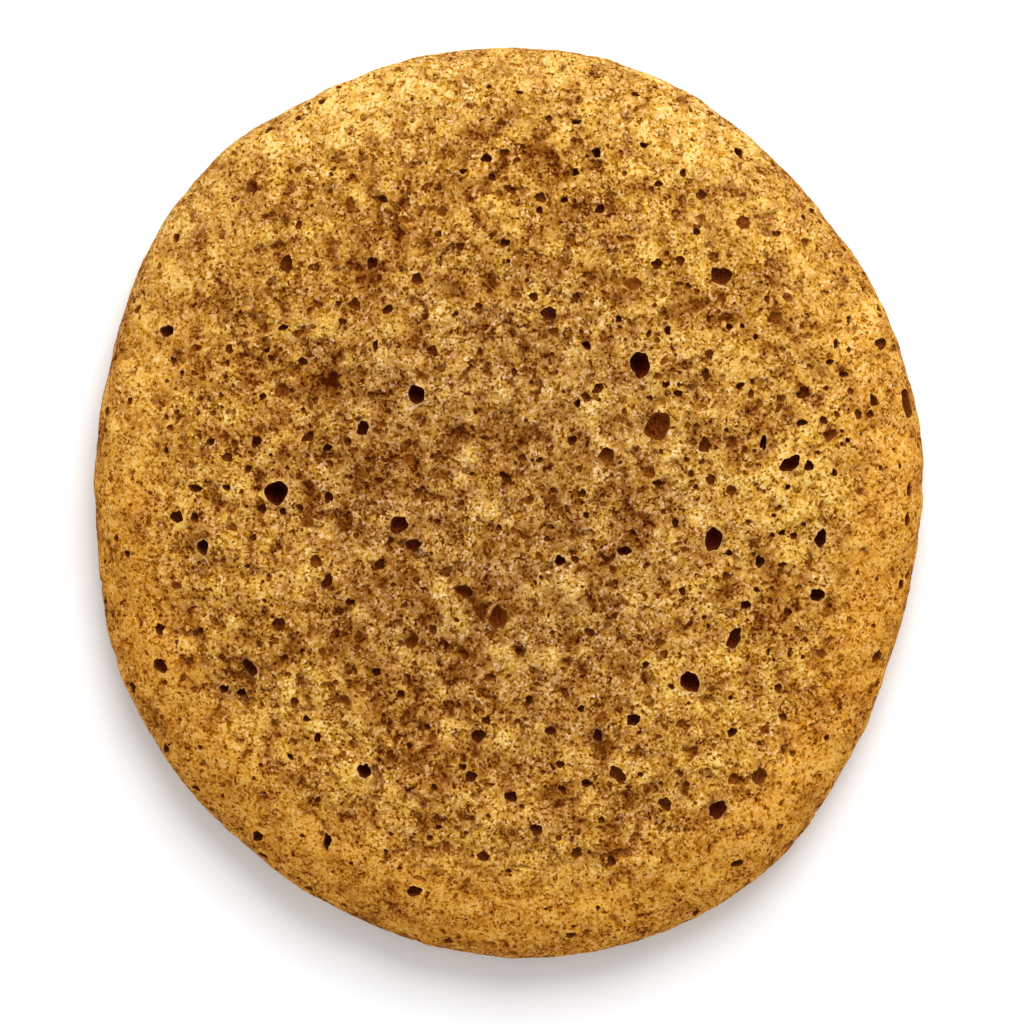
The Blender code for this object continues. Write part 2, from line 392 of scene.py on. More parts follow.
    def toast_and_rim_shade(self, points: np.ndarray) -> np.ndarray:
        """How toasted the face is at each point: 1 in a browned patch, under 0 in a pale one; on the rim
        these are painted shade and painted light.
        """
        total = np.zeros(len(points))
        for across, along, width, strength in self.patches:
            distance = np.hypot(points[:, 0] - across * MM, points[:, 1] - along * MM)
            total += strength * np.exp(-self.patch_falloff * (distance / (width * MM)) ** 2)
        return total

    def raise_swells(self, laid: Laid, section: Section) -> np.ndarray:
        """Raises the swells and nubs that the solid has too.

        Args:
            laid: The points on the plain section.
            section: The section that they lie on.

        Returns:
            The raised points, one a row.
        """
        height = sum(size * noise_at(laid.points, spacing) for spacing, size in self.swells)
        for x, y, width, rise in self.nubs:
            distance = np.hypot(laid.points[:, 0] - x, laid.points[:, 1] - y) / width
            height += rise * np.exp(-self.nub_falloff * distance**2)
        upright = self.side_share + (1.0 - self.side_share) * np.clip(laid.outward[:, 2], 0.0, None)
        fade = np.minimum(1.0, laid.level / section.widest_height) * upright
        points = laid.points + laid.outward * (height * fade)[:, None]
        points[:, 2] = np.clip(points[:, 2], 0.0, None)
        return points

    def raise_crumb(self, points: np.ndarray, laid: Laid) -> tuple[np.ndarray, np.ndarray, np.ndarray]:
        """Raises the fine lumps of the crumb, and sinks its ragged pits and the toasted patches.

        Args:
            points: The points with their swells, one a row.
            laid: The same points on the plain section.

        Returns:
            The surface's points before its bubbles, one a row, how high each lies on its lump, from
            about -1 in a crease to 1 on a top, and how far it lies in a pit, from 0 to 1.
        """
        height = np.zeros(len(points))
        follow, lowered = self.crumb_shape
        for spacing, size in self.crumb:
            lumps = noise_at(points + spacing * 11.0, spacing)
            height += size * (follow * np.abs(lumps) - lowered)
        lumpiness = height / (0.5 * sum(size for _, size in self.crumb))
        rim = smooth_step(laid.reach, *self.rim_bounds)
        toast_and_rim_shade = self.toast_and_rim_shade(points) * smooth_step(laid.outward[:, 2], 0.2, 0.8)
        spacing, ragged_spacing, ragged, depth = self.pits
        chance = noise_at(points, spacing) + ragged * noise_at(points, ragged_spacing)
        pit = smooth_step(chance + self.toast_pitting * toast_and_rim_shade - self.rim_pitting * rim, *self.pit_bounds)
        height = height * (1.0 - (1.0 - self.rim_calm) * rim) - depth * pit - self.patch_depth * toast_and_rim_shade
        base = laid.outward[:, 2] < -0.99
        height = np.where(base, -self.base_dents * np.abs(height), height)
        raised = points + laid.outward * height[:, None]
        raised[:, 2] = np.clip(raised[:, 2], 0.0, None)
        return raised, lumpiness, pit


@dataclass(frozen=True)
class Bubble:
    """One burst bubble, and the hollow that it leaves.

    Attributes:
        centre: The middle of its mouth, on the surface.
        outward: The way out of the surface there.
        width: The mouth's width.
        length: The mouth's length.
        turn: The length's turn from +X, in radians.
        depth: How far down its floor lies.
        sink: The share of its height that its centre lies under the surface. Under 0 it is a dish.
        lean: How far its floor lies aside of its mouth, along and across.
        lobes: The mouth's unevenness: lobes round it, how far out they stand as a share of the
            mouth, and where one of them points.
    """

    centre: Vector
    outward: Vector
    width: float
    length: float
    turn: float
    depth: float
    sink: float
    lean: tuple[float, float]
    lobes: tuple[tuple[int, float, float], ...]

    def axes(self) -> tuple[np.ndarray, np.ndarray, np.ndarray]:
        """The ways along the mouth, across it, and out of it."""
        flat = Vector((1.0, 0.0, 0.0)) - self.outward * self.outward.x
        along = Quaternion(self.outward, self.turn) @ flat.normalized()
        return np.array(along), np.array(self.outward.cross(along)), np.array(self.outward)

    def edge(self, angle: np.ndarray) -> np.ndarray:
        """The mouth's edge as a share of its plain oval, in the direction of each angle."""
        return 1.0 + sum(size * np.cos(count * angle - turn) for count, size, turn in self.lobes)


@dataclass
class BubbleRules:
    """The sizes that the bubbles are drawn from.

    Attributes:
        named: The bubbles that stand out on the face, in millimetres: across, along, width, length,
            turn of the length from +X in degrees, and depth.
        small: Smaller ones that still stand out, in the same terms.
        lesser: Smaller ones yet, which the solid leaves out.
        face_count: How many more the solid has on its face.
        side_count: How many it has round its side.
        base_count: How many it has in its base.
        width: The least and greatest width of those.
        depth_share: Their least and greatest depth as a share of their width.
        stretch: Their least and greatest length as a share of their width.
        gap: The least distance between two of them.
        base_clear: How far from the middle of the base they stay.
        seed: The seed that they are drawn with.
        pores: Smaller pores of the face: how many, and their least and greatest width.
        dishes: Shallow dips of the face, in the same terms.
        side_pores: The same for the side.
        base_pores: The same for the base.
        pore_depth: The least and greatest depth of a pore, as a share of its width.
        dish_depth: The same for a dip.
        pore_stretch: The least and greatest length of either as a share of its width.
        pore_gap: The least distance between a pore and its neighbour.
        crowding: How pores crowd: the distance between crowded places, how likely a pore is drawn
            there on the whole, and how much that varies.
        sparse_from: The share of the cookie's radius from which the face has fewer.
        sparse_share: The share of them that are drawn there.
    """

    named: tuple[tuple[float, ...], ...] = (
        (-20.9, 0.9, 1.9, 2.2, 75, 2.3),
        (11.8, 12.4, 1.7, 2.3, 92, 2.2),
        (-8.3, 9.7, 1.4, 1.7, 95, 2.0),
        (16.3, -16.1, 1.5, 2.0, 125, 2.0),
        (18.4, -3.3, 1.5, 2.1, 85, 1.9),
        (25.3, 3.5, 1.2, 1.9, 33, 1.6),
        (28.1, -3.2, 1.0, 1.6, 74, 1.7),
        (27.8, -8.3, 1.1, 1.3, 170, 1.7),
        (18.8, -27.6, 1.3, 1.8, 40, 1.4),
        (20.3, -12.2, 1.0, 2.1, 68, 1.3),
        (13.4, 6.9, 2.2, 2.6, 80, 0.9),
        (19.1, 20.4, 1.5, 1.9, 160, 1.0),
        (-9.9, -2.0, 1.4, 1.7, 30, 1.4),
        (-8.6, -3.8, 1.1, 1.3, 25, 1.2),
        (-0.9, -10.3, 1.8, 1.9, 90, 0.9),
        (8.8, 4.2, 1.4, 1.5, 150, 0.7),
        (-23.3, -14.8, 1.0, 1.7, 132, 1.2),
        (-31.4, -14.7, 1.1, 1.5, 130, 1.0),
        (-27.5, -4.0, 1.1, 1.3, 75, 1.5),
        (-30.9, 15.5, 1.1, 1.2, 160, 1.6),
        (-13.0, -24.1, 1.1, 1.3, 96, 1.7),
        (-13.1, 6.7, 1.0, 1.3, 90, 1.5),
        (-16.4, -30.5, 0.7, 1.4, 85, 1.4),
        (-8.5, -35.0, 0.9, 1.4, 5, 1.1),
        (-8.7, -12.4, 1.2, 1.4, 75, 0.7),
        (11.2, -19.5, 0.9, 1.3, 20, 1.4),
        (9.8, -24.4, 1.1, 1.7, 140, 0.7),
        (22.6, -24.6, 1.3, 1.5, 50, 0.6),
        (3.6, 17.0, 1.2, 1.3, 150, 1.1),
        (36.0, 9.0, 1.3, 2.8, 102, 1.0),
    )
    small: tuple[tuple[float, ...], ...] = (
        (21.3, -9.2, 0.7, 0.95, 10, 1.2),
        (8.0, -20.9, 0.85, 1.0, 80, 1.2),
        (4.6, -5.2, 0.85, 0.95, 70, 1.3),
        (7.9, 31.5, 0.75, 0.95, 80, 1.4),
        (-11.6, -5.5, 0.85, 1.0, 60, 0.9),
        (10.4, -4.3, 0.8, 1.15, 5, 1.2),
        (22.6, -5.3, 0.75, 1.1, 85, 1.2),
        (26.5, 9.9, 1.0, 1.2, 60, 0.8),
        (28.9, 6.1, 1.0, 1.3, 20, 0.6),
        (22.9, 5.4, 0.6, 1.2, 80, 1.4),
        (-12.3, 21.6, 0.9, 1.1, 70, 1.2),
        (-2.0, 31.0, 0.8, 0.9, 0, 1.0),
        (-31.5, -11.4, 0.8, 1.0, 120, 0.8),
        (-28.2, 1.3, 0.6, 1.35, 0, 0.9),
        (-16.3, -7.0, 0.85, 1.2, 70, 1.0),
        (-22.7, 5.5, 0.8, 1.0, 60, 1.0),
        (-16.2, 0.5, 0.75, 0.95, 90, 0.9),
        (17.6, 5.2, 1.0, 1.3, 90, 0.7),
        (20.8, 31.6, 0.8, 1.1, 120, 1.1),
        (8.2, 26.4, 0.75, 0.85, 80, 1.0),
        (0.2, -26.4, 0.9, 1.1, 170, 1.0),
        (2.5, -29.4, 1.0, 1.1, 0, 0.8),
        (-2.3, -31.8, 0.9, 1.0, 0, 0.6),
        (6.1, -31.5, 0.9, 1.0, 45, 0.6),
        (7.0, -25.2, 0.75, 0.85, 0, 0.9),
        (-3.4, -24.6, 0.9, 1.1, 0, 0.8),
        (-11.9, -15.2, 0.7, 0.85, 10, 1.0),
        (36.2, 1.2, 0.6, 1.3, 85, 0.7),
    )
    lesser: tuple[tuple[float, ...], ...] = (
        (-25.7, -16.8, 0.7, 0.8, 45, 1.2),
        (-24.1, -17.1, 0.7, 0.8, 30, 1.2),
        (36.0, -1.5, 0.7, 1.2, 95, 0.8),
        (32.9, 9.2, 0.8, 1.0, 120, 0.7),
        (-26.8, 5.5, 0.6, 0.75, 0, 0.8),
        (-16.3, 4.9, 0.7, 0.8, 0, 0.9),
        (-28.3, -1.3, 0.65, 0.75, 40, 0.8),
        (-20.3, 15.7, 0.5, 0.9, 10, 0.8),
        (-12.0, 14.1, 0.45, 0.9, 80, 0.8),
        (-35.5, -3.2, 0.5, 0.75, 90, 0.6),
        (7.0, 14.1, 0.6, 0.9, 150, 1.0),
        (9.9, 16.5, 0.55, 0.65, 90, 0.8),
        (14.3, 15.5, 0.6, 0.75, 90, 0.8),
        (14.1, 10.6, 0.55, 0.65, 0, 0.7),
        (17.7, 11.5, 0.55, 1.2, 95, 0.5),
        (6.2, 8.9, 0.55, 0.65, 90, 0.9),
        (5.7, 5.6, 0.75, 0.85, 0, 0.9),
        (26.4, 7.2, 0.5, 1.0, 0, 0.8),
        (30.2, 11.6, 0.6, 0.75, 0, 0.7),
        (29.5, 14.3, 0.5, 0.85, 80, 0.7),
        (13.4, 1.8, 0.55, 0.85, 0, 0.8),
        (20.0, 1.1, 0.9, 1.0, 60, 0.4),
        (20.8, 10.5, 0.6, 0.75, 20, 0.6),
        (15.0, -1.8, 0.5, 0.9, 80, 0.8),
        (19.8, -4.5, 0.5, 0.65, 0, 0.7),
        (24.6, -2.7, 0.5, 0.65, 0, 0.7),
        (-9.7, -17.2, 0.65, 0.8, 70, 0.8),
        (-17.2, -21.1, 0.55, 0.9, 85, 0.9),
        (-8.9, -21.8, 0.45, 0.6, 80, 0.7),
        (4.6, -23.5, 0.65, 0.75, 0, 0.6),
        (1.8, -17.7, 0.6, 0.85, 85, 0.9),
        (6.5, -18.5, 0.5, 0.65, 80, 0.8),
        (0.9, -13.4, 0.6, 0.65, 0, 0.8),
        (6.1, 34.3, 0.5, 0.75, 10, 0.7),
        (-1.5, 29.3, 0.6, 0.7, 80, 0.8),
        (-4.1, 29.8, 0.4, 0.75, 0, 0.7),
        (0.1, 28.2, 0.65, 1.1, 170, 0.5),
        (6.0, 29.7, 0.6, 0.65, 90, 0.9),
        (5.0, 27.2, 0.55, 0.6, 0, 0.8),
        (2.8, 26.3, 0.55, 0.7, 90, 0.8),
        (12.2, 32.2, 0.5, 0.65, 0, 0.8),
        (17.3, 27.7, 0.8, 0.9, 0, 0.5),
        (13.5, 28.7, 0.6, 0.65, 0, 0.6),
        (15.7, 29.7, 0.5, 0.75, 85, 0.6),
        (16.9, 24.4, 0.6, 0.7, 0, 0.7),
        (-30.9, 4.7, 0.5, 0.55, 0, 0.7),
        (-13.8, 17.8, 0.9, 1.1, 90, 0.6),
        (-21.8, 13.7, 0.4, 0.65, 0, 0.6),
        (20.1, 5.5, 0.85, 0.95, 90, 0.4),
        (30.5, 5.6, 0.45, 0.5, 0, 0.7),
        (30.7, 16.5, 0.4, 0.75, 90, 0.7),
        (21.8, 9.8, 0.5, 0.8, 90, 0.4),
        (22.2, 14.9, 0.45, 0.5, 0, 0.7),
        (19.8, 15.8, 0.55, 0.6, 0, 0.7),
        (19.6, -6.6, 0.7, 0.8, 0, 0.45),
        (-7.3, -20.1, 0.45, 0.5, 0, 0.7),
        (-6.3, -29.2, 0.45, 0.5, 0, 0.7),
        (-5.6, -31.0, 0.75, 0.95, 90, 0.35),
        (-1.7, -15.7, 0.75, 1.1, 0, 0.45),
        (5.6, -39.1, 0.65, 0.9, 0, 0.45),
        (-18.2, -19.4, 0.55, 0.6, 0, 0.7),
        (11.5, 36.9, 0.45, 0.65, 0, 0.6),
        (1.0, 37.0, 0.3, 0.65, 0, 0.5),
        (21.1, 25.2, 1.2, 1.35, 0, 0.35),
    )
    face_count: int = 20
    side_count: int = 12
    base_count: int = 8
    width: tuple[float, float] = (0.70 * MM, 1.15 * MM)
    depth_share: tuple[float, float] = (0.45, 1.05)
    stretch: tuple[float, float] = (1.0, 1.5)
    gap: float = 0.45 * MM
    base_clear: float = 9.0 * MM
    seed: int = 7
    pores: tuple[tuple[int, float, float], ...] = (
        (12, 0.74 * MM, 1.00 * MM),
        (34, 0.58 * MM, 0.74 * MM),
        (85, 0.45 * MM, 0.58 * MM),
        (230, 0.32 * MM, 0.45 * MM),
    )
    dishes: tuple[tuple[int, float, float], ...] = (
        (14, 0.80 * MM, 1.25 * MM),
        (36, 0.55 * MM, 0.80 * MM),
    )
    side_pores: tuple[tuple[int, float, float], ...] = (
        (16, 0.60 * MM, 0.90 * MM),
        (90, 0.34 * MM, 0.60 * MM),
    )
    base_pores: tuple[tuple[int, float, float], ...] = (
        (30, 0.70 * MM, 1.20 * MM),
        (100, 0.40 * MM, 0.70 * MM),
    )
    pore_depth: tuple[float, float] = (0.5, 1.25)
    dish_depth: tuple[float, float] = (0.16, 0.42)
    pore_stretch: tuple[float, float] = (1.0, 1.45)
    pore_gap: float = 0.14 * MM
    crowding: tuple[float, float, float] = (7.0 * MM, 0.62, 0.9)
    sparse_from: float = 0.82
    sparse_share: float = 0.4


class BubbleField:
    """Every bubble of the cookie, kept apart from one another.

    Attributes:
        BURST_SINK: The sink of a burst bubble.
        DISH_SINK: The sink of a shallow one.
        DISH_LIMIT: The depth, as a share of its width, under which a bubble is shallow.
        LEAN: How far a floor may lie aside of its mouth, as a share of the mouth.
        LOBES: The lobes round a mouth, and how far out they may stand.
        RAGGED_WIDTHS: The width under which mouths grow more ragged, and the one of the most ragged.
        RAGGED_GAIN: How much more ragged those are.
        SIDE_LEVELS: The heights on the side that bubbles open at, as a share of the thickness.
        FACE_REACH: How far out on the face they open, as a share of the widest radius.
        BASE_REACH: The same on the base.
    """

    BURST_SINK = 0.40
    DISH_SINK = -0.25
    DISH_LIMIT = 0.62
    LEAN = 0.16
    LOBES = ((2, 0.09), (3, 0.10), (4, 0.06), (5, 0.06), (7, 0.05))
    RAGGED_WIDTHS = (1.3 * MM, 0.7 * MM)
    RAGGED_GAIN = 0.5
    SIDE_LEVELS = (0.20, 0.62)
    FACE_REACH = 0.96
    BASE_REACH = 0.85

    def __init__(self, section: Section, guide: BVHTree) -> None:
        """Starts with no bubble.

        Args:
            section: The plain cookie.
            guide: The cookie's surface before its bubbles.
        """
        self.section = section
        self.guide = guide
        self.bubbles: list[Bubble] = []
        self.unevenness = random.Random(23)

    def aim(self, opening: Opening, rule: random.Random, base_clear: float) -> tuple[Vector, Vector]:
        """Draws a line on to the cookie.

        Args:
            opening: The part that the line meets.
            rule: The source of random numbers.
            base_clear: How far from the middle of the base the line stays.

        Returns:
            Where the line starts and the way it goes.
        """
        angle = rule.uniform(0.0, 2.0 * math.pi)
        heading = Vector((math.cos(angle), math.sin(angle), 0.0))
        thickness = self.section.thickness
        if opening is Opening.SIDE:
            level = rule.uniform(*self.SIDE_LEVELS) * thickness
            return heading * 2.0 * self.section.mean_radius + Vector((0.0, 0.0, level)), -heading
        widest = float(self.section.outline_radius(angle))
        if opening is Opening.FACE:
            radius = widest * self.FACE_REACH * math.sqrt(rule.random())
            return heading * radius + Vector((0.0, 0.0, 2.0 * thickness)), Vector((0.0, 0.0, -1.0))
        radius = math.sqrt(rule.uniform(base_clear**2, (widest * self.BASE_REACH) ** 2))
        return heading * radius + Vector((0.0, 0.0, -thickness)), Vector((0.0, 0.0, 1.0))

    def add(self, line: tuple[Vector, Vector], sizes: tuple[float, float, float, float], gap: float) -> bool:
        """Adds a bubble where a line meets the cookie, unless it would meet another.

        Args:
            line: Where the line starts and the way it goes.
            sizes: The bubble's width, length, turn and depth.
            gap: The least distance to its neighbours.

        Returns:
            Whether the bubble was added.
        """
        point, outward, _, _ = self.guide.ray_cast(*line)
        if point is None:
            return False
        width, length, turn, depth = sizes
        for other in self.bubbles:
            if (point - other.centre).length < (length + other.length) / 2.0 + gap:
                return False
        shallow = depth < self.DISH_LIMIT * width
        rule = random.Random(self.unevenness.random())
        lean = (rule.uniform(-self.LEAN, self.LEAN) * length, rule.uniform(-self.LEAN, self.LEAN) * width)
        wide, narrow = self.RAGGED_WIDTHS
        ragged = 1.0 + self.RAGGED_GAIN * min(1.0, max(0.0, (wide - width) / (wide - narrow)))
        lobes = tuple(
            (count, rule.uniform(0.3, 1.0) * size * ragged, rule.uniform(0.0, 2.0 * math.pi))
            for count, size in self.LOBES
        )
        sink = self.DISH_SINK if shallow else self.BURST_SINK
        self.bubbles.append(Bubble(point, outward, width, length, turn, depth, sink, lean, lobes))
        return True

    def add_named(self, rows: tuple[tuple[float, ...], ...], gap: float) -> None:
        """Adds bubbles whose places on the face are given in millimetres."""
        for across, along, width, length, turn, depth in rows:
            start = Vector((across * MM, along * MM, 2.0 * self.section.thickness))
            sizes = (width * MM, length * MM, math.radians(turn), depth * MM)
            self.add((start, Vector((0.0, 0.0, -1.0))), sizes, gap)

    def scatter(self, rules: BubbleRules, rule: random.Random, opening: Opening, count: int) -> None:
        """Adds bubbles that the solid has too, drawn in the same order.

        Args:
            rules: The sizes that they are drawn from.
            rule: The source of random numbers.
            opening: The part that they open on.
            count: How many are added.
        """
        left = count
        while left:
            line = self.aim(opening, rule, rules.base_clear)
            least, most = rules.width
            width = least + (most - least) * rule.random() ** 2
            length = width * rule.uniform(*rules.stretch)
            turn = rule.uniform(0.0, math.pi)
            depth = width * rule.uniform(*rules.depth_share)
            left -= self.add(line, (width, length, turn, depth), rules.gap)

    def scatter_pores(
        self,
        rules: BubbleRules,
        rule: random.Random,
        opening: Opening,
        sizes: tuple[int, float, float],
        depth_share: tuple[float, float],
    ) -> None:
        """Adds pores too small for the solid, close together in some places and sparse in others.

        Args:
            rules: The gap that they keep.
            rule: The source of random numbers.
            opening: The part that they open on.
            sizes: How many are added, and their least and greatest width.
            depth_share: Their least and greatest depth as a share of their width.
        """
        left, least, most = sizes
        while left:
            line = self.aim(opening, rule, 0.0)
            width = rule.uniform(least, most)
            length = width * rule.uniform(*rules.pore_stretch)
            turn = rule.uniform(0.0, math.pi)
            depth = width * rule.uniform(*depth_share)
            spacing, usual, varied = rules.crowding
            crowding = usual + varied * noise.noise(line[0] / spacing)
            radius = math.hypot(line[0].x, line[0].y) / self.section.mean_radius
            if opening is Opening.FACE and radius > rules.sparse_from:
                crowding *= rules.sparse_share
            if rule.random() < crowding:
                left -= self.add(line, (width, length, turn, depth), rules.pore_gap)

    def fill(self, rules: BubbleRules) -> None:
        """Adds every bubble: first those of the solid, in its order, and then the smaller ones.

        Args:
            rules: The sizes that they are drawn from.
        """
        self.add_named(rules.named, rules.gap)
        self.add_named(rules.small, rules.gap)
        rule = random.Random(rules.seed)
        self.scatter(rules, rule, Opening.FACE, rules.face_count)
        self.scatter(rules, rule, Opening.SIDE, rules.side_count)
        self.scatter(rules, rule, Opening.BASE, rules.base_count)
        self.add_named(rules.lesser, rules.pore_gap)
        pore_sets = (
            (Opening.FACE, rules.pores, rules.pore_depth),
            (Opening.FACE, rules.dishes, rules.dish_depth),
            (Opening.SIDE, rules.side_pores, rules.pore_depth),
            (Opening.BASE, rules.base_pores, rules.pore_depth),
        )
        for opening, rows, depth_share in pore_sets:
            for sizes in rows:
                self.scatter_pores(rules, rule, opening, sizes, depth_share)


@dataclass
class Shell:
    """The cookie's surface while it is worked, with what its finish needs to know of each point.

    Attributes:
        points: The places of the points, one a row.
        hollow: How far down in a bubble each lies, in millimetres.
        mouth: How far inside a bubble's mouth each lies, in millimetres, and under 0 outside it.
        lip: 1 on the edge of a deep bubble's mouth and 0 away from it.
        tree: The points as they were at first, to find the ones near a bubble.
        CATCH: How far round a mouth points are marked with their distance to it.
        LIP_REACH: How far out the raised lip goes, as a share of the mouth.
        LIP_RISE: How far it rises, as a share of the width.
        LIP_WIDTH: How far from the edge of a mouth its lip is paler.
        LIP_DEPTHS: The depth from which a bubble has a paler lip, and that of the palest.
        GRIT_SPACING: The distance between the lumps of a bubble's wall.
        GRIT_SHARE: How far those stand out, as a share of the width.
    """

    points: np.ndarray
    hollow: np.ndarray = field(init=False)
    mouth: np.ndarray = field(init=False)
    lip: np.ndarray = field(init=False)
    tree: KDTree = field(init=False)

    CATCH = 0.55 * MM
    LIP_REACH = 1.34
    LIP_RISE = 0.05
    LIP_WIDTH = 0.26 * MM
    LIP_DEPTHS = (0.9 * MM, 1.7 * MM)
    GRIT_SPACING = 0.5 * MM
    GRIT_SHARE = 0.10

    def __post_init__(self) -> None:
        """Sets out the points so that the ones near a bubble are quickly found."""
        self.hollow = np.zeros(len(self.points))
        self.mouth = np.full(len(self.points), -self.CATCH / MM)
        self.lip = np.zeros(len(self.points))
        self.tree = KDTree(len(self.points))
        for index, place in enumerate(self.points.tolist()):
            self.tree.insert(place, index)
        self.tree.balance()

    def press(self, bubble: Bubble) -> None:
        """Pushes one bubble's hollow into the surface, and raises its lip a little.

        Args:
            bubble: The bubble to push in.
        """
        along, across, outward = bubble.axes()
        half_length, half_width = bubble.length / 2.0, bubble.width / 2.0
        catch = max(half_length, half_width) * self.LIP_REACH + self.CATCH
        near = np.array([index for _, index, _ in self.tree.find_range(bubble.centre, catch)], dtype=int)
        if not len(near):
            return
        offset = self.points[near] - np.array(bubble.centre)
        u, v, rise = offset @ along / half_length, offset @ across / half_width, offset @ outward
        angle = np.arctan2(v, u)
        edge = bubble.edge(angle)
        share = np.hypot(u, v) / edge

        mouth_angle = math.acos(bubble.sink)
        tall = bubble.depth / (1.0 + bubble.sink)
        inner = np.clip(share, 0.0, 1.0)
        polar = math.pi - (math.pi - mouth_angle) * inner
        spread = np.sin(polar) / math.sin(mouth_angle) * edge
        drop = tall * (np.cos(polar) - bubble.sink)
        down = -drop / bubble.depth
        lift = bubble.width * self.LIP_RISE * inner**8
        grit_size = bubble.width * self.GRIT_SHARE * (1.0 - inner**4)
        grit = noise_at(self.points[near], self.GRIT_SPACING) * grit_size

        sunk = offset @ np.column_stack((along, across, outward))
        sunk[:, 0] = np.cos(angle) * spread * half_length + bubble.lean[0] * down
        sunk[:, 1] = np.sin(angle) * spread * half_width + bubble.lean[1] * down
        sunk[:, 2] = drop + rise * inner + lift + grit

        outer = np.clip((share - 1.0) / (self.LIP_REACH - 1.0), 0.0, 1.0)
        rim = offset + outward * (bubble.width * self.LIP_RISE * (1.0 - outer) ** 2)[:, None]
        inside = (share < 1.0)[:, None]
        moved = np.where(inside, sunk @ np.row_stack((along, across, outward)), rim)
        self.points[near] = np.array(bubble.centre) + moved
        self.hollow[near] = np.where(share < 1.0, -drop / MM, self.hollow[near])
        within = (1.0 - share) * math.sqrt(half_length * half_width) * edge
        self.mouth[near] = np.maximum(self.mouth[near], within / MM)
        shallow, deep = self.LIP_DEPTHS
        size = min(1.0, max(0.0, (bubble.depth - shallow) / (deep - shallow)))
        lip = np.clip(1.0 - np.abs(within) / self.LIP_WIDTH, 0.0, 1.0) * size
        self.lip[near] = np.maximum(self.lip[near], lip)


